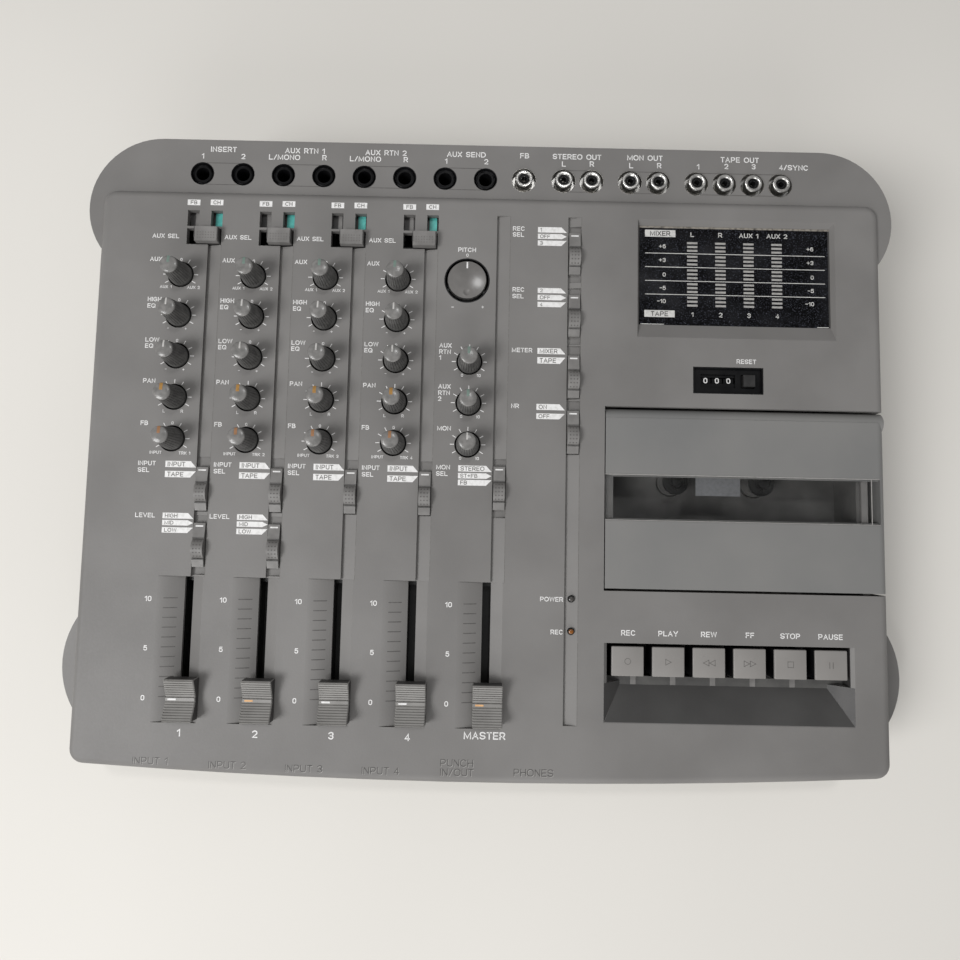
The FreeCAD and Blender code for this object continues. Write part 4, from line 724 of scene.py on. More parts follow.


# rotary knobs: fluted cone, domed top made lighter as a painted sheen, pointer line

# each outline is a list of (radius, height), and the pointer's course one of (distance, height)
knob = dict(
    sides=96, flute=4, fluteDepth=0.26, rings=9, ringDepth=0.15, bore=64,
    foot=[(0, -2.2), (5.3, -2.2), (5.5, -1.8), (5.5, 0.9), (5.3, 1.3)],
    cone=((5.35, 2.0), (4.15, 12.3)),
    dome=[(4.1, 12.6), (4.03, 12.85), (3.85, 13.05), (3.4, 13.23), (2.7, 13.4), (1.9, 13.51),
          (1.0, 13.58), (0, 13.6)],
    pointer=[(0.6, 13.62), (1.2, 13.59), (2.2, 13.5), (3.0, 13.36), (3.5, 13.23), (3.9, 13.05)],
    pointerLean=0.12, pointerDepth=0.25,
    shaft=[(0, -10.0), (2.1, -10.0), (2.1, -2.2), (0, -2.2)], shaftSides=24,
    # collar: a ring round the knob whose black inner wall is painted shade in the gap
    gapShadeRing=[(6.25, -0.8), (6.75, -0.8), (6.75, 0.015), (6.35, 0.015), (6.25, -0.08)])
pointerInk = {"aux": "tealInk", "high_eq": "wornInk", "low_eq": "wornInk", "pan": "amberInk",
              "foldback": "orangeInk", "aux_return_1": "tealInk", "aux_return_2": "tealInk",
              "monitor": "wornInk"}
pointerWidths = {"wornInk": 0.75, "tealInk": 1.3, "amberInk": 1.5, "orangeInk": 1.4}


def addPointer(shape, course, width, lean, depth, material):
    half = width / 2
    addSections(shape, [[(-half, y, z), (half, y, z), (half, y - lean, z - depth),
                         (-half, y - lean, z - depth)] for y, z in course], material)


def knobForm(width):
    # the cone is milled with rings as well as flutes, which leaves small teeth
    (waist, low), (neck, high) = knob["cone"]
    steps = 2 * knob["rings"]
    cone = [(waist + (neck - waist) * k / steps - (knob["ringDepth"] if k % 2 else 0),
             low + (high - low) * k / steps) for k in range(steps + 1)]
    first = len(knob["foot"])
    last = first + steps

    def ripple(step, index):
        return -knob["fluteDepth"] if first <= step <= last and index % knob["flute"] == 0 else 0

    shape = bmesh.new()
    addLathe(shape, knob["foot"] + cone + knob["dome"], knob["sides"],
             lambda step: 1 if step >= last else 0, ripple=ripple)
    addPointer(shape, knob["pointer"], width, knob["pointerLean"], knob["pointerDepth"], 2)
    addLathe(shape, knob["shaft"], knob["shaftSides"])
    bmesh.ops.recalc_face_normals(shape, faces=shape.faces)
    mesh = bpy.data.meshes.new("knobForm")
    shape.to_mesh(mesh)
    shape.free()
    return mesh


def placeKnobs():
    forms = {ink: knobForm(width) for ink, width in pointerWidths.items()}
    gapShadeRings = bmesh.new()
    for body in frame["bodies"]:
        if "_knob" not in body or body == "pitch_knob":
            continue
        ink = pointerInk[body.split("_knob")[0]]
        centre = centreOf(body)
        piece = placeMesh(body + "_cap", forms[ink].copy(), body, ["knobAbs", "knobTopPaintedSheenAbs", ink],
                          toWorld @ Matrix.Translation(centre), 28)
        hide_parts(body)
        # round each knob, a black wall of painted shade in the gap
        addLathe(gapShadeRings, knob["gapShadeRing"], knob["bore"],
                 lambda step: 1 if step == len(knob["gapShadeRing"]) - 1 else 0, centre, closed=True)
    finishPiece("knob_gap_shade", gapShadeRings, "root", ["caseAbs", "blackAbs"])


placeKnobs()
print("knobs done")


# the pitch wheel: a milled disc with a crowned face, a finger dimple and a white line
pitch = dict(
    sides=144, edge=[(0, -2.2), (9.25, -2.2), (9.25, 0.4), (9.12, 0.75), (9.0, 0.9)],
    face=9.0, height=0.9, crown=0.35, rings=23, ringStep=0.4,
    dimpleY=-6.1, dimpleRadius=1.75, dimpleDepth=0.75, dimplePower=1.2,
    lineWidth=0.75, lineDepth=0.2, lineFront=5.65, lineRear=8.85, lineSteps=6, lineLift=0.03,
    ribs=90, ribReach=9.25, ribWidth=0.3, ribDepth=0.3, ribFoot=-2.2, ribTop=0.3,
    # sleeve: painted shade, a black ring in the gap round the wheel
    sleeve=[(10.35, -2.9), (10.69, -2.9), (10.69, 0), (11.0, 0), (11.0, 0.03), (10.4, 0.03)],
    gapShadeSides=96)


def pitchHeight(radius):
    return pitch["height"] + pitch["crown"] * (1 - (radius / pitch["face"]) ** 2)


def pitchMatrix():
    return toWorld @ Matrix.Translation(centreOf("pitch_knob"))


def placePitchDisc():
    shape = bmesh.new()
    radii = [number * pitch["ringStep"] for number in range(pitch["rings"], -1, -1)]
    # the disc's underside, side and edge are black: painted shade in the gap round it
    addLathe(shape, pitch["edge"] + [(radius, pitchHeight(radius)) for radius in radii],
             pitch["sides"], lambda step: 2 if step < 3 else 0)
    for vertex in shape.verts:
        away = math.hypot(vertex.co.x, vertex.co.y - pitch["dimpleY"]) / pitch["dimpleRadius"]
        if vertex.co.z > pitch["height"] - 0.01 and away < 1:
            vertex.co.z -= pitch["dimpleDepth"] * (1 - away * away) ** pitch["dimplePower"]
    run = pitch["lineRear"] - pitch["lineFront"]
    course = [pitch["lineFront"] + run * k / pitch["lineSteps"]
              for k in range(pitch["lineSteps"] + 1)]
    addPointer(shape, [(y, pitchHeight(y) + pitch["lineLift"]) for y in course],
               pitch["lineWidth"], 0, pitch["lineDepth"], 1)
    addLathe(shape, knob["shaft"], knob["shaftSides"], 2)
    disc = finishPiece("pitch_disc", shape, "pitch_knob", ["pitchAbs", "whiteInk", "blackAbs"],
                       pitchMatrix())
    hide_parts("pitch_knob")


def placePitchSleeve():
    # a black sheet of painted shade in the gap round the wheel, with a thin black ring on the panel
    # that widens it
    sleeve = bmesh.new()
    addLathe(sleeve, pitch["sleeve"], pitch["gapShadeSides"], 0, centreOf("pitch_knob"), closed=True)
    finishPiece("pitch_gap_shade", sleeve, "root", ["blackAbs"])


def placePitchMilling():
    places = []
    for number in range(pitch["ribs"]):
        angle = 2 * math.pi * number / pitch["ribs"]
        places.append(((pitch["ribReach"] * math.cos(angle), pitch["ribReach"] * math.sin(angle),
                        (pitch["ribTop"] + pitch["ribFoot"]) / 2), (0, 0, angle)))
    milling = repeatForm("pitch_milling", "block", places, dict(
        Width=pitch["ribDepth"], Length=pitch["ribWidth"],
        Height=pitch["ribTop"] - pitch["ribFoot"]), "pitch_knob", "knobAbs", pitchMatrix())


placePitchDisc()
placePitchSleeve()
placePitchMilling()


# fader caps: two dished, ribbed halves with a marked ridge between them

# ribCourse: (share of a rib's pitch, share of its height); endCourse: (in from the end, up)
fader = dict(
    width=13.8, length=19.0, lift=0.7, endHeight=7.0, endCourse=[(0.35, 0.1), (0, -0.25)],
    dish=3.4, dishPower=1.15, bevel=0.4, ridge=4.05, ridgeWidth=1.7, ridgeLean=0.15,
    ribs=7, ribHeight=0.4, ribStart=0.45, ribMargin=1.0,
    ribCourse=[(0.0, 0), (0.1, 1), (0.7, 1), (0.8, 0)], wallArea=30, wallTilt=0.3,
    stem=[(-2.2, -3, -10.4), (-0.4, 3, 1.2)], mark=[(-5.6, -0.4, 3.9), (-1.8, 0.4, 4.08)])
faderMark = {"fader_cap_1": "whiteInk", "fader_cap_2": "peachInk", "fader_cap_3": "whiteInk",
             "fader_cap_4": "whiteInk", "master_fader_cap": "peachInk"}


def dishHeight(y):
    inner = fader["ridgeWidth"] / 2
    share = max(0.0, (abs(y) - inner) / (fader["length"] / 2 - inner))
    return fader["dish"] + (fader["endHeight"] - fader["dish"]) * share ** fader["dishPower"]


def capOutline(drop=0.0):
    # the cap's side seen along X, from its front foot round to its rear foot
    end, foot = fader["length"] / 2 - drop, fader["length"] / 2
    inner, lean = fader["ridgeWidth"] / 2, fader["ridgeLean"]
    rib = (end - inner - fader["ribMargin"]) / fader["ribs"]
    half = []
    for number in range(fader["ribs"]):
        for share, rise in fader["ribCourse"]:
            y = inner + fader["ribStart"] + (number + share) * rib
            half.append((y, dishHeight(y) + rise * fader["ribHeight"] - drop))
    half += [(end - back, fader["endHeight"] + rise - drop) for back, rise in fader["endCourse"]]
    low, high = fader["dish"] - drop, fader["ridge"] - drop
    ridge = [(-inner, low), (lean - inner, high), (inner - lean, high), (inner, low)]
    front = [(-y, z) for y, z in reversed(half)]
    return [(-foot, fader["lift"])] + front + ridge + half + [(foot, fader["lift"])]


def placeFaders():
    half, bevel = fader["width"] / 2, fader["bevel"]
    full, drawnIn = capOutline(), capOutline(bevel)
    for name, ink in faderMark.items():
        low, high = panelBox(name)
        shape = bmesh.new()
        addSections(shape, [[(across, along, up) for along, up in outline]
                            for across, outline in ((-half, drawnIn), (bevel - half, full),
                                                    (half - bevel, full), (half, drawnIn))])
        shape.normal_update()
        # the large steep walls of the cap take the dark lever plastic: painted shade on its sides
        # and ends
        for face in shape.faces:
            if abs(face.normal.z) < fader["wallTilt"] and face.calc_area() > fader["wallArea"]:
                face.material_index = 2
        addBlock(shape, *fader["stem"])
        addBlock(shape, *fader["mark"], 1)
        middle = ((low.x + high.x) / 2, (low.y + high.y) / 2, 0)
        piece = finishPiece(name + "_shell", shape, name, ["capAbs", ink, "leverAbs"],
                            toWorld @ Matrix.Translation(middle))
        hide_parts(name)


placeFaders()
print("faders done")


# slide switches: crowned ends, a grip of studs on the hump, a white dash on each cap

slide = dict(
    length=20.5, width=5.4, top=0.5, hump=3.3, humpLength=10.0, humpShift=-1.7, crown=1.05,
    foot=0.3, overlap=0.3, proud=0.02, cover=0.03, dotColumns=(-1.5, 0, 1.5),
    dotRows=(-3.5, -1.75, 0, 1.75, 3.5), dot=dict(Radius=0.34, Height=0.12),
    dash=dict(Width=3.6, Length=0.95, Height=0.12), dashY=8.7, dashRise=0.19, dashLean=-0.1,
    line=dict(Width=5.4, Length=0.3, Height=0.3), lineDrop=0.1)
slideCaps = {"input_select_sliders": (4, 0), "level_select_sliders": (2, 0),
             "monitor_select_slider": (1, 0), "record_select_sliders": (2, 1),
             "meter_select_slider": (1, 1), "noise_reduction_slider": (1, 1)}
unturned = (0, 0, 0)


def capPlaces(node, count, axis):
    # the middles of the caps that share a node, along X (0) or Y (1)
    low, high = panelBox(node)
    extent = (slide["width"], slide["length"])[axis]
    places = []
    for number in range(count):
        middle = [(low.x + high.x) / 2, (low.y + high.y) / 2]
        if count > 1:
            run = high[axis] - low[axis] - extent
            middle[axis] = low[axis] + extent / 2 + run * number / (count - 1)
        places.append(middle)
    return places


def humpPoint(along):
    # a point of the hump's arc and the lean of its normal
    radius = (slide["humpLength"] ** 2 / 4 + slide["hump"] ** 2) / (2 * slide["hump"])
    lean = math.asin(along / radius)
    return radius * math.cos(lean) + slide["hump"] - radius, lean


def placeSliderMarks():
    top = slide["top"]
    reach = slide["width"] / 2 + slide["cover"]
    for node, (count, axis) in slideCaps.items():
        dots, dashes, lines = [], [], []
        wedges = bmesh.new()
        for x, y in capPlaces(node, count, axis):
            middle = y + slide["humpShift"]
            for way in (-1, 1):
                edge = middle + way * slide["humpLength"] / 2
                start = edge - way * slide["overlap"]
                end = y + way * (slide["length"] / 2 + slide["proud"])
                outline = [(start, slide["foot"]), (end, slide["foot"]),
                           (end, top + slide["proud"]), (start, top + slide["crown"])]
                addSections(wedges, [[(x + side, along, up) for along, up in outline]
                                     for side in (-reach, reach)])
                lines.append(((x, edge, top + slide["crown"] - slide["lineDrop"]), unturned))
            for across in slide["dotColumns"]:
                for along in slide["dotRows"]:
                    height, lean = humpPoint(along)
                    dots.append(((x + across, middle + along, height), (-lean, 0, 0)))
            dashes.append(((x, y + slide["dashY"], top + slide["dashRise"]),
                           (slide["dashLean"], 0, 0)))
        crowned = finishPiece(node + "_ends", wedges, node, ["sliderAbs"])
        repeatForm(node + "_dots", "stud", dots, slide["dot"], node, "markInk")
        repeatForm(node + "_dashes", "block", dashes, slide["dash"], node, "whiteInk")
        repeatForm(node + "_lines", "block", lines, slide["line"], node, "darkInk")


placeSliderMarks()


# a dark line along the soft right edge of each groove
groove = dict(x=-130.67, front=-61.5, rear=98.8, masterRear=116.3, sideX=44.43,
              sideFront=-126.2, line=0.25, foot=-0.2, top=0.02)


def placeGrooveEdges():
    shape = bmesh.new()
    runs = [(groove["x"] + number * panel["stripPitch"], groove["front"], groove["rear"])
            for number in channels]
    runs += [(groove["x"] + 4 * panel["stripPitch"], groove["front"], groove["masterRear"]),
             (groove["sideX"], groove["sideFront"], groove["masterRear"])]
    for x, front, rear in runs:
        addStroke(shape, [(x, front), (x, rear)], groove["line"], groove["foot"], groove["top"],
                  closed=False)
    finishPiece("groove_edges", shape, "root", ["openInk"])


placeGrooveEdges()


# the levers of the auxiliary slides; plates: (name, finish, distance from the lever, width, drop)
auxSlide = dict(
    first=5.8, y=102.8, width=11.0, depth=7.1, top=3.5, foot=0.3, dish=0.2, dishShift=0.9,
    sections=9, edge=0.3, drawIn=0.03, drop=0.25, studRows=(-1.9, -0.6, 0.7), studColumns=3,
    studPitch=1.3, stud=dict(Radius=0.24, Height=0.16), plateY=112.2, plateTop=-3.4,
    plateLength=7.5, plateHeight=0.2, plates=[("aux_select_flags", "tealAbs", 3.7, 3.6, 0),
                                              ("aux_select_blanks", "sliderAbs", -7.0, 1.9, 0),
                                              # the carrier is dark as painted shade in the windows
                                              ("aux_select_carriers_shade", "leverAbs", -7.9, 5.1, 0.2)])


def auxTop(along):
    # the dished top of a lever, lowest a little in front of its middle
    half, shift = auxSlide["depth"] / 2, auxSlide["dishShift"]
    sag = auxSlide["dish"] * (1 - ((along + shift) / (half + shift)) ** 2)
    return auxSlide["top"] - max(0.0, sag)


def placeAuxCaps(levers):
    shape = bmesh.new()
    y, half, reach = auxSlide["y"], auxSlide["depth"] / 2, auxSlide["width"] / 2
    steps = [auxSlide["depth"] * k / auxSlide["sections"] - half
             for k in range(auxSlide["sections"] + 1)]
    outline = [(y - half, auxSlide["foot"]), *((y + along, auxTop(along)) for along in steps),
               (y + half, auxSlide["foot"])]
    share, foot = auxSlide["drawIn"], auxSlide["foot"]
    drawnIn = [(along * (1 - share) + y * share, up - auxSlide["drop"] if up > foot else up)
               for along, up in outline]
    for x in levers:
        addSections(shape, [[(x + side, along, up) for along, up in section]
                            for side, section in ((-reach, drawnIn),
                                                  (auxSlide["edge"] - reach, outline),
                                                  (reach - auxSlide["edge"], outline),
                                                  (reach, drawnIn))])
    piece = finishPiece("aux_select_caps", shape, "aux_select_sliders", ["sliderAbs"])


def placeAuxDots(levers):
    columns = range(-auxSlide["studColumns"], auxSlide["studColumns"] + 1)
    studs = [((x + auxSlide["studPitch"] * column, auxSlide["y"] + along, auxTop(along)), unturned)
             for x in levers for along in auxSlide["studRows"] for column in columns]
    repeatForm("aux_select_dots", "stud", studs, auxSlide["stud"], "aux_select_sliders", "signInk")


def placeAuxPlates(levers):
    # the coloured flag and the blank that show in the two windows, and the carrier under them, dark
    # as painted shade in the windows
    for name, look, right, width, drop in auxSlide["plates"]:
        places = [((x + right, auxSlide["plateY"], auxSlide["plateTop"] - drop), unturned)
                  for x in levers]
        repeatForm(name, "block", places, dict(
            Width=width, Length=auxSlide["plateLength"], Height=auxSlide["plateHeight"]),
            "aux_select_sliders", look)


auxLevers = [panelBox("aux_select_sliders")[0].x + auxSlide["first"]
             + number * panel["stripPitch"] for number in channels]
placeAuxCaps(auxLevers)
placeAuxDots(auxLevers)
placeAuxPlates(auxLevers)


# fader scales: the scoop at the left of each slot curves down to it, with thin lines across it
faderScale = dict(
    slotX=-138.8, slotWidth=4.0, slotFront=-127.9, slotRear=-61.4, reach=11.5, depth=3.0,
    curve=1.75, steps=14, lift=0.02, thickness=0.25, lines=11, left=-149.5, right=-143.5,
    rear=-71.5, front=-116.7, lineSteps=8, lineHalf=0.2, lineLift=0.05, lineDepth=0.06)


def scoopHeight(across):
    # across: from 0 at the scoop's left edge to 1 at the slot
    return -faderScale["depth"] * across ** faderScale["curve"]


def addScaleLines(marks, shift, edge):
    left, run = faderScale["left"] + shift, faderScale["right"] - faderScale["left"]
    half, steps = faderScale["lineHalf"], faderScale["lineSteps"]
    for line in range(faderScale["lines"]):
        share = line / (faderScale["lines"] - 1)
        y = faderScale["rear"] + share * (faderScale["front"] - faderScale["rear"])
        sections = []
        for x in (left + run * k / steps for k in range(steps + 1)):
            top = scoopHeight((x - edge) / faderScale["reach"]) + faderScale["lineLift"]
            foot = top - faderScale["lineDepth"]
            sections.append([(x, y - half, top), (x, y + half, top), (x, y + half, foot),
                             (x, y - half, foot)])
        addSections(marks, sections)


def placeFaderScales():
    floors, marks = bmesh.new(), bmesh.new()
    reach, steps = faderScale["reach"], faderScale["steps"]
    for number in range(5):
        shift = number * panel["stripPitch"]
        slotEdge = faderScale["slotX"] - faderScale["slotWidth"] / 2 + shift
        edge = slotEdge - reach
        outline = [(edge + reach * k / steps, scoopHeight(k / steps) + faderScale["lift"])
                   for k in range(steps + 1)]
        outline += [(slotEdge, -faderScale["depth"] - faderScale["thickness"]),
                    (edge, -faderScale["thickness"])]
        addSections(floors, [[(x, y, z) for x, z in outline]
                             for y in (faderScale["slotFront"], faderScale["slotRear"])])
        addScaleLines(marks, shift, edge)
    finishPiece("fader_scoops", floors, "root", ["caseAbs"])
    finishPiece("fader_scales", marks, "root", ["markInk"])


placeFaderScales()
print("sliders done")


# transport keys: a bevelled top with an engraved sign on each lever

keyTop = dict(margin=0.05, front=-103.05, rear=-89.45, drop=1.0, top=0.25, bevel=0.45, segments=3)
keySigns = {"record_key": "ring", "play_key": "right", "rewind_key": "left left",
            "fast_forward_key": "right right", "stop_key": "square", "pause_key": "bars"}
keySign = dict(half=1.3, ring=(1.25, 1.5), line=0.25, bar=0.35, barX=0.8, arrow=2.9, lift=0.03)


def addSign(shape, sign, x, y, z):
    top, half, line = z + keySign["lift"], keySign["half"], keySign["line"]
    if sign == "ring":
        inner, outer = keySign["ring"]
        addLathe(shape, [(inner, z), (outer, z), (outer, top), (inner, top)], 32, 1, (x, y, 0),
                 closed=True)
    elif sign == "square":
        addStroke(shape, [(x - half, y - half), (x + half, y - half), (x + half, y + half),
                          (x - half, y + half)], line, z, top, 1)
    elif sign == "bars":
        for side in (-keySign["barX"], keySign["barX"]):
            addStroke(shape, [(x + side, y - half), (x + side, y + half)], keySign["bar"], z, top,
                      1, closed=False)
    else:
        arrows = sign.split()
        for number, way in enumerate(arrows):
            middle = x + (number - (len(arrows) - 1) / 2) * keySign["arrow"]
            tip = half if way == "right" else -half
            points = [(middle - tip, y - half), (middle + tip, y), (middle - tip, y + half)]
            addStroke(shape, points, line, z, top, 1)


def placeKeyTops():
    margin, front, rear, top = (keyTop[key] for key in ("margin", "front", "rear", "top"))
    for node, sign in keySigns.items():
        low, high = panelBox(node)
        shape = bmesh.new()
        addBlock(shape, (low.x - margin, front, top - keyTop["drop"]), (high.x + margin, rear, top))
        edges = [edge for edge in shape.edges
                 if max(vertex.co.z for vertex in edge.verts) > top - 0.01]
        bmesh.ops.bevel(shape, geom=edges, offset=keyTop["bevel"], segments=keyTop["segments"],
                        profile=0.5, affect="EDGES")
        addSign(shape, sign, (low.x + high.x) / 2, (front + rear) / 2, top)
        piece = finishPiece(node + "_top", shape, node, ["keyAbs", "signInk"])


placeKeyTops()
print("keys done")


# level meter: printed legends, scale lines and bar segments on the glass

# boxes: (word, x, y, width, height); legends: (word, x, y); numbers: (word, y)
meter = dict(
    boxes=[("MIXER", 83.4, 110.4, 15.0, 3.5), ("TAPE", 83.1, 70.1, 14.8, 3.4)],
    legends=[("L", 99.2, 110.1), ("R", 112.9, 110.1), ("AUX 1", 126.9, 110.1),
             ("AUX 2", 140.8, 110.1)], legend=2.3, legendStretch=1.08, trackY=70.0,
    numbers=[("+6", 103.9), ("+3", 97.0), ("0", 89.7), ("-5", 83.0), ("-10", 76.4)],
    number=2.0, numberStretch=1.05, numberEnds=(86.15, 158.6),
    lines=(100.4, 93.5, 86.6, 79.8), lineHalf=0.16, lineEnds=(76.0, 164.1), lineHeight=0.02,
    barX=99.15, barPitch=13.8, steps=(1.5, 3.43, 5.37), lift=0.03,
    segment=dict(Width=5.1, Length=1.0, Height=0.04))


def placeMeterPrint():
    level = panel["glass"]
    white, knockout = bmesh.new(), bmesh.new()
    for word, *box in meter["boxes"]:
        addBox(white, knockout, word, *box, level)
    bars = [meter["barX"] + number * meter["barPitch"] for number in channels]
    writeAll(white, meter["legends"], meter["legend"], level=level,
             stretch=meter["legendStretch"])
    writeAll(white, [(str(number + 1), x, meter["trackY"]) for number, x in enumerate(bars)],
             meter["legend"], level=level)
    for x in meter["numberEnds"]:
        writeAll(white, [(words, x, y) for words, y in meter["numbers"]], meter["number"],
                 "right", level, stretch=meter["numberStretch"])
    left, right = meter["lineEnds"]
    for y in meter["lines"]:
        addBlock(white, (left, y - meter["lineHalf"], level),
                 (right, y + meter["lineHalf"], level + meter["lineHeight"]))
    finishPiece("meter_print", white, "root", ["greyInk"])
    finishPiece("meter_labels", knockout, "root", ["darkInk"])
    rows = [meter["lines"][0] + step for step in meter["steps"]]
    rows += [line - step for line in meter["lines"] for step in meter["steps"]]
    places = [((x, y, level + meter["lift"]), unturned) for x in bars for y in rows]
    repeatForm("meter_segments", "block", places, meter["segment"], "root", "segmentInk")


# dust along the rear edge of the glass, a dark frame at its right and two painted glints at its
# front corners
meterRim = dict(height=0.08, dust=0.9, frame=0.7, glintSpan=(0.1, 0.4), glintLeft=(0.6, 12),
                glintRight=(6.5, 0.9))


def placeMeterRim():
    low, high = panelBox("meter_window")
    dust, frameWidth = high.y - meterRim["dust"], meterRim["frame"]
    front, rear = (low.y + reach for reach in meterRim["glintSpan"])
    glintLeft = [low.x + reach for reach in meterRim["glintLeft"]]
    glintRight = [high.x - reach for reach in meterRim["glintRight"]]
    for name, look, areas in (
            ("meter_dust", "dustInk", [(low.x, dust, high.x, high.y)]),
            ("meter_frame", "leverAbs", [(high.x - frameWidth, low.y, high.x, dust)]),
            # painted glints at the two front corners
            ("meter_glints", "greyInk", [(glintLeft[0], front, glintLeft[1], rear),
                                       (glintRight[0], front, glintRight[1], rear)])):
        shape = bmesh.new()
        for left, near, right, far in areas:
            addBlock(shape, (left, near, high.z), (right, far, high.z + meterRim["height"]))
        finishPiece(name, shape, "root", [look])


placeMeterPrint()
placeMeterRim()


# tape counter: ten digits round each of the three drums, and a dark strip on either side

counter = dict(drums=3, x=105.5, pitch=5.55, radius=4.52, relief=0.32, digit=2.65, lead=6,
               left=102.4, right=119.8, edges=[(33.9, 36.05), (38.95, 40.3)], foot=-3.1, top=-2.6)


def addCopy(shape, part, matrix):
    # moves a part into place and takes it into the shape
    bmesh.ops.transform(part, matrix=matrix, verts=part.verts)
    mesh = bpy.data.meshes.new("part")
    part.to_mesh(mesh)
    part.free()
    shape.from_mesh(mesh)
    bpy.data.meshes.remove(mesh)


def placeDigits():
    shape = bmesh.new()
    centre = centreOf("counter_wheels")
    for drum in range(counter["drums"]):
        middle = Vector((counter["x"] + drum * counter["pitch"], centre.y, centre.z))
        for digit in range(10):
            single = bmesh.new()
            addWords(single, str(digit), (0, 0, counter["radius"]), counter["digit"],
                     thickness=counter["relief"])
            turn = math.radians(36 * digit - counter["lead"])
            addCopy(shape, single, Matrix.Translation(middle) @ Matrix.Rotation(turn, 4, "X"))
    piece = finishPiece("counter_digits", shape, "counter_wheels", ["whiteInk"])
    mask = bmesh.new()
    for front, rear in counter["edges"]:
        addBlock(mask, (counter["left"], front, counter["foot"]),
                 (counter["right"], rear, counter["top"]))
    finishPiece("counter_mask", mask, "root", ["blackAbs"])


placeDigits()
print("meter and counter done")


# sockets: threaded rings in the quarter-inch holes, sleeves on the phono barrels

# each ring: (sides, material, outline of (radius, height above the deck))
socket = dict(
    y=136.2, phoneX=[-143.0 + 20.0 * number for number in range(8)],
    phonoX=[16.0, 35.6, 49.45, 68.5, 82.35, 101.3, 115.15, 129.0, 142.85],
    phone=[(48, 0, [(5.0, -1.5), (5.76, -1.5), (5.76, -0.05), (5.5, -0.05), (5.3, -0.4)]),
           (48, 1, [(3.3, -1.6), (4.85, -1.6), (4.85, -0.55), (4.65, -0.4), (4.3, -0.4),
                    (3.5, -1.2)])],
    sleeve=[(48, 0, [(4.16, -2.5), (4.32, -2.5), (4.32, 1.6), (4.1, 1.95), (3.5, 2.1),
                     (2.9, 1.95), (2.6, 1.6), (2.6, 1.01), (4.16, 1.01)])],
    insulator=[(40, 0, [(1.62, 0.6), (2.62, 0.6), (2.62, 1.08), (1.62, 1.04)]),
               (24, 0, [(1.35, -2.2), (1.59, -2.2), (1.59, 0.95), (1.35, 0.95)]),
               (48, 1, [(5.6, -1.6), (5.97, -1.6), (5.97, -0.02), (5.85, -0.02)])])
deckLines = dict(groups=[(-143, -123), (-103, -83), (-63, -43), (-23, -3), (35.6, 49.45),
                         (68.5, 82.35), (101.3, 142.85)],
                 inset=2, side=5.5, width=0.3, sink=0.01, height=0.03)


def placeDeckRings():
    for name, kind, centres, materials in (
            ("phone_rings", "phone", socket["phoneX"], ["blackAbs", "darkNickel"]),
            ("phono_sleeves", "sleeve", socket["phonoX"], ["nickel"]),
            ("phono_insulators", "insulator", socket["phonoX"], ["blackAbs", "zincSteel"])):
        shape = bmesh.new()
        for x in centres:
            for sides, material, outline in socket[kind]:
                addLathe(shape, outline, sides, material, (x, socket["y"], panel["deck"]),
                         closed=True)
        finishPiece(name, shape, "root", materials)


def placeDeckLines():
    # thin dark lines that join the sockets of a group along their front and rear edges
    shape = bmesh.new()
    deck, inset = panel["deck"], deckLines["inset"]
    for left, right in deckLines["groups"]:
        for side in (-deckLines["side"], deckLines["side"]):
            y = socket["y"] + side
            addStroke(shape, [(left + inset, y), (right - inset, y)], deckLines["width"],
                      deck - deckLines["sink"], deck + deckLines["height"], closed=False)
    finishPiece("deck_lines", shape, "root", ["markInk"])


placeDeckRings()
placeDeckLines()


# lamps: a domed lens in a thin black ring

lamp = dict(x=41.2, lenses=[("power_lens", -68.1, "lampLens"), ("record_lens", -83.1, "amberLens")],
            radius=1.3, foot=-1.5, edge=0.3, dome=0.65, angles=(25, 50, 70),
            ring=[(1.32, -1.0), (1.65, -1.0), (1.65, 0.08), (1.32, 0.12)], sides=32)


def placeLamps():
    radius, edge, dome = lamp["radius"], lamp["edge"], lamp["dome"]
    angles = [math.radians(angle) for angle in lamp["angles"]]
    profile = [(0, lamp["foot"]), (radius, lamp["foot"]), (radius, edge)]
    profile += [(radius * math.cos(angle), edge + dome * math.sin(angle)) for angle in angles]
    profile.append((0, edge + dome))
    for name, y, look in lamp["lenses"]:
        shape = bmesh.new()
        addLathe(shape, profile, lamp["sides"], 0, (lamp["x"], y, 0))
        addLathe(shape, lamp["ring"], lamp["sides"], 1, (lamp["x"], y, 0), closed=True)
        finishPiece(name, shape, "root", [look, "blackAbs"])


placeLamps()


# cassette bay: reel discs on the spindles, painted highlights along the window, a faded label
# behind it

hub = dict(profile=[(0, -17.6), (4.9, -17.6), (4.9, -14.6), (6.0, -14.4), (6.4, -14.0),
                    (6.4, -13.0), (6.1, -12.5), (5.4, -12.3), (3.3, -12.2), (3.2, -10.6),
                    (2.6, -9.6), (1.3, -9.1), (0, -9.0)], sides=48,
           tooth=[(2.9, -0.5, -12.25), (4.1, 0.5, -10.2)], turns=(30, 150, 270))


def placeHubs():
    # a black reel disc with three teeth on each drive spindle
    for body in ("supply_spindle", "takeup_spindle"):
        shape = bmesh.new()
        addLathe(shape, hub["profile"], hub["sides"])
        for angle in hub["turns"]:
            tooth = bmesh.new()
            addBlock(tooth, *hub["tooth"])
            addCopy(shape, tooth, Matrix.Rotation(math.radians(angle), 4, "Z"))
        low, high = panelBox(body)
        middle = ((low.x + high.x) / 2, (low.y + high.y) / 2, 0)
        piece = finishPiece(body + "_disc", shape, body, ["hubNylon"],
                            toWorld @ Matrix.Translation(middle))


placeHubs()


# bar: the painted highlight across the window; label: (left, front), (right, rear)
windowMarks = dict(line=0.4, foot=0.02, top=0.05, bar=(183.1, 183.5),
                label=((100.2, -18.4), (121.5, -8.9)), labelDrop=(0.12, 0.02))


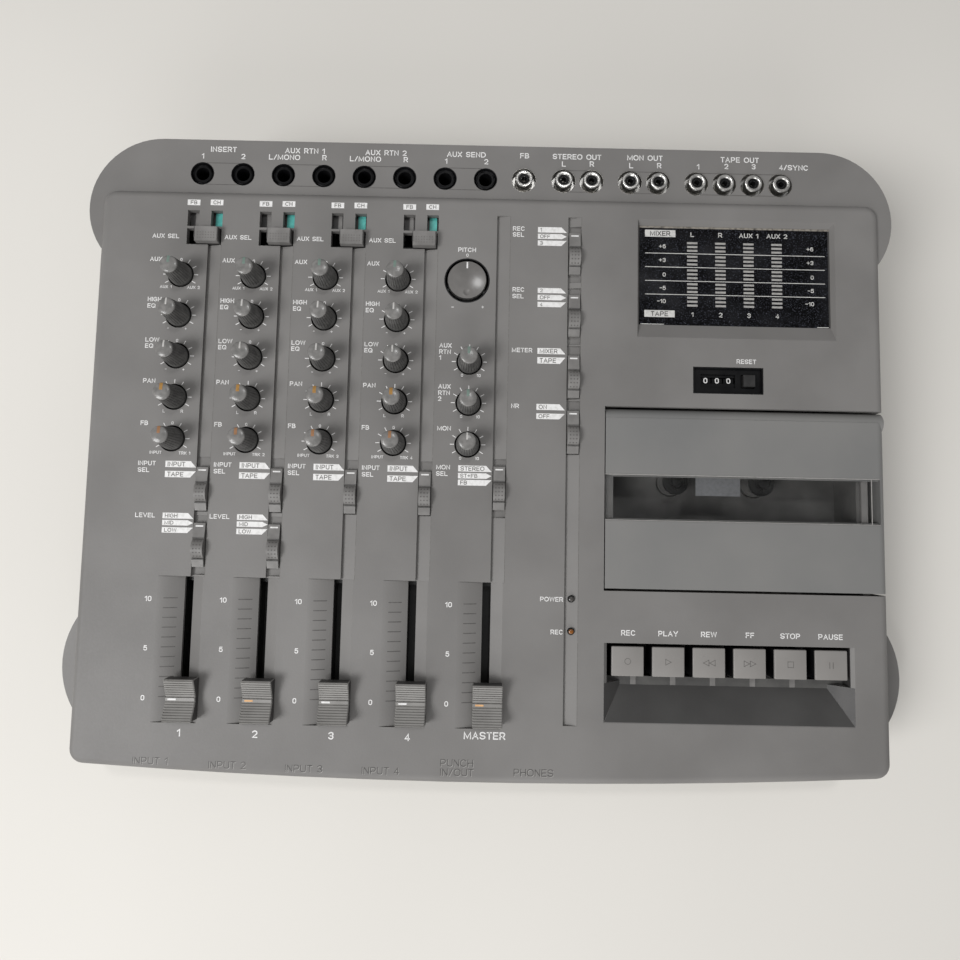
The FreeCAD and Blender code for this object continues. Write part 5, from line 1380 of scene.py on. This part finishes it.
def placeDoorTrim():
    low, high = panelBox("door_window")
    foot, top, line = high.z - windowMarks["foot"], high.z + windowMarks["top"], windowMarks["line"]
    left, right = windowMarks["bar"]
    shape = bmesh.new()
    # painted highlights along the front and rear edges of the window and across it
    addBlock(shape, (low.x, low.y, foot), (high.x, low.y + line, top))
    addBlock(shape, (low.x, high.y - line, foot), (high.x, high.y, top))
    addBlock(shape, (left, low.y, foot), (right, high.y, top))
    finishPiece("window_edge_highlights", shape, "cassette_door", ["edgeHighlightInk"])
    label = bmesh.new()
    corners = [(*corner, low.z - drop)
               for corner, drop in zip(windowMarks["label"], windowMarks["labelDrop"])]
    addBlock(label, *corners)
    finishPiece("window_label", label, "cassette_door", ["labelPaper"])


placeDoorTrim()


# finger recess: painted shade, as dark sheets on the slope in front of the keys and on the walls
# beside it

recess = dict(left=56.7, right=173.5, rear=-88.1, slotFront=-106.6, front=-124.5, deep=-9.0,
              side=10.0, slopeInset=0.4, slopeTop=-0.14, slopeLift=0.06, slopeDepth=0.3,
              wallInset=0.1, wallFront=0.3, wallTop=-0.05, wallDepth=0.2, wallLift=0.04,
              innerWall=(1.3, 1.55), innerFoot=-10.4, innerTop=-1.3)
# the ledge's darker plastic is painted shade; its ribs are painted pools of light between the keys
ledge = dict(inset=1, front=-108.7, rear=-104.5, foot=-9.6, top=-8.0, ribs=5, lightPoolX=72.05,
             lightPoolPitch=18.95, lightPoolHalf=1.3, lightPoolFront=-108.4, ribTop=-7.85)


def placeRecessLining():
    shape = bmesh.new()
    left, right, deep = recess["left"], recess["right"], recess["deep"]
    front, rear, side = recess["front"], recess["slotFront"], recess["side"]
    inset, top = recess["slopeInset"], recess["slopeTop"]
    foot = deep + recess["slopeLift"]
    slopeTop = [(left + inset, front + inset, top), (right - inset, front + inset, top),
                (right - side, rear, foot), (left + side, rear, foot)]
    addSections(shape, [[(x, y, z - recess["slopeDepth"]) for x, y, z in slopeTop], slopeTop])
    # each wall gets a dark sheet of painted shade, the right one darker still
    for edge, way, shade in ((left, 1, 0), (right, -1, 1)):
        start = edge + way * recess["wallInset"]
        wall = [(start, front + recess["wallFront"], recess["wallTop"]),
                (start + way * side, rear, deep), (start, rear, recess["wallTop"])]
        depth = recess["wallDepth"]
        addSections(shape, [[(x - way * depth, y, z - depth) for x, y, z in wall],
                            [(x, y, z + recess["wallLift"]) for x, y, z in wall]], shade)
        near, far = sorted(edge + way * reach for reach in recess["innerWall"])
        addBlock(shape, (near, rear, recess["innerFoot"]),
                 (far, recess["rear"], recess["innerTop"]), shade)
    finishPiece("recess_painted_shade", shape, "root", ["recessPaintedShadeAbs", "leverAbs"])


def placeLedge():
    # the ledge under the front edge of the keys, dark as painted shade, with a painted pool of
    # light between two keys
    shape = bmesh.new()
    addBlock(shape, (recess["left"] + ledge["inset"], ledge["front"], ledge["foot"]),
             (recess["right"] - ledge["inset"], ledge["rear"], ledge["top"]))
    for number in range(ledge["ribs"]):
        x = ledge["lightPoolX"] + number * ledge["lightPoolPitch"]
        addBlock(shape, (x - ledge["lightPoolHalf"], ledge["lightPoolFront"], ledge["top"]),
                 (x + ledge["lightPoolHalf"], ledge["rear"], ledge["ribTop"]), 1)
    finishPiece("recess_ledge", shape, "root", ["wellAbs", "sliderAbs"])


placeRecessLining()
placeLedge()


# screws on the underside, sunk in the floor, in millimetres of the upright frame

screws = dict(places=[(-150, -60), (150, -60), (-150, 60), (150, 60), (0, -120), (0, 120), (-60, 0),
                      (60, 0)], headZ=5.2, head=dict(Radius=3.0, Height=1.0), slotZ=4.7,
              slot=dict(Width=3.4, Length=0.7, Height=0.1), turns=(math.pi / 4, -math.pi / 4))


def placeScrews():
    metres = Matrix.Scale(0.001, 4)
    heads = [((x, y, screws["headZ"]), unturned) for x, y in screws["places"]]
    repeatForm("bottom_screws", "stud", heads, screws["head"], "root", "darkNickel", metres)
    slots = [((x, y, screws["slotZ"]), (0, 0, turn)) for x, y in screws["places"]
             for turn in screws["turns"]]
    repeatForm("screw_slots", "block", slots, screws["slot"], "root", "blackAbs", metres)


placeScrews()
print("pieces done")


# stage, light and camera

stage = dict(floor="#dcd9d3", size=6.0, world="#ffffff", worldStrength=0.34, lamps={
    "window": (25.5, 0.75, (-1.15, -0.72, 1.45)), "front": (10.0, 1.1, (-0.1, -1.7, 0.75)),
    "ceiling": (4.5, 0.14, (0.15, 0.6, 2.0))})


def buildStage():
    material, tree, shader = newMaterial("paintedFloor", {"Roughness": 0.75})
    patches = noiseOn(tree, 300, 2.0)
    tint = shades(tree, patches, stage["floor"], "#e0ddd7")
    tree.links.new(tint.outputs["Color"], shader.inputs["Base Color"])
    mesh = bpy.data.meshes.new("floor")
    half = stage["size"] / 2
    mesh.from_pydata([(-half, -half, 0), (half, -half, 0), (half, half, 0), (-half, half, 0)], [],
                     [(0, 1, 2, 3)])
    mesh.materials.append(material)
    floor = bpy.data.objects.new("floor", mesh)
    bpy.context.scene.collection.objects.link(floor)
    world = bpy.data.worlds.new("studio")
    world.use_nodes = True
    background = world.node_tree.nodes["Background"]
    background.inputs["Color"].default_value = colour(stage["world"])
    background.inputs["Strength"].default_value = stage["worldStrength"]
    bpy.context.scene.world = world
    for name, (power, size, place) in stage["lamps"].items():
        light = bpy.data.lights.new(name, "AREA")
        light.energy = power
        light.size = size
        holder = bpy.data.objects.new(name, light)
        holder.location = place
        holder.rotation_euler = (-Vector(place)).to_track_quat("-Z", "Y").to_euler()
        bpy.context.scene.collection.objects.link(holder)


camera = dict(place=(-3.05, -36.3, 314.6), turn=(4.20, -0.165, 1.19), lens=24.96, sensor=36.0)


def buildCamera():
    data = bpy.data.cameras.new("camera")
    data.lens = camera["lens"]
    data.sensor_width = camera["sensor"]
    data.clip_start = 0.01
    holder = bpy.data.objects.new("camera", data)
    turn = Euler([math.radians(angle) for angle in camera["turn"]]).to_matrix().to_4x4()
    upright = Matrix.Rotation(slope, 4, "X")
    holder.matrix_world = Matrix.Translation(toWorld @ Vector(camera["place"])) @ upright @ turn
    bpy.context.scene.collection.objects.link(holder)
    bpy.context.scene.camera = holder
    bpy.context.scene.view_settings.view_transform = "Standard"


buildStage()
buildCamera()
bpy.context.view_layer.update()
print("scene done")
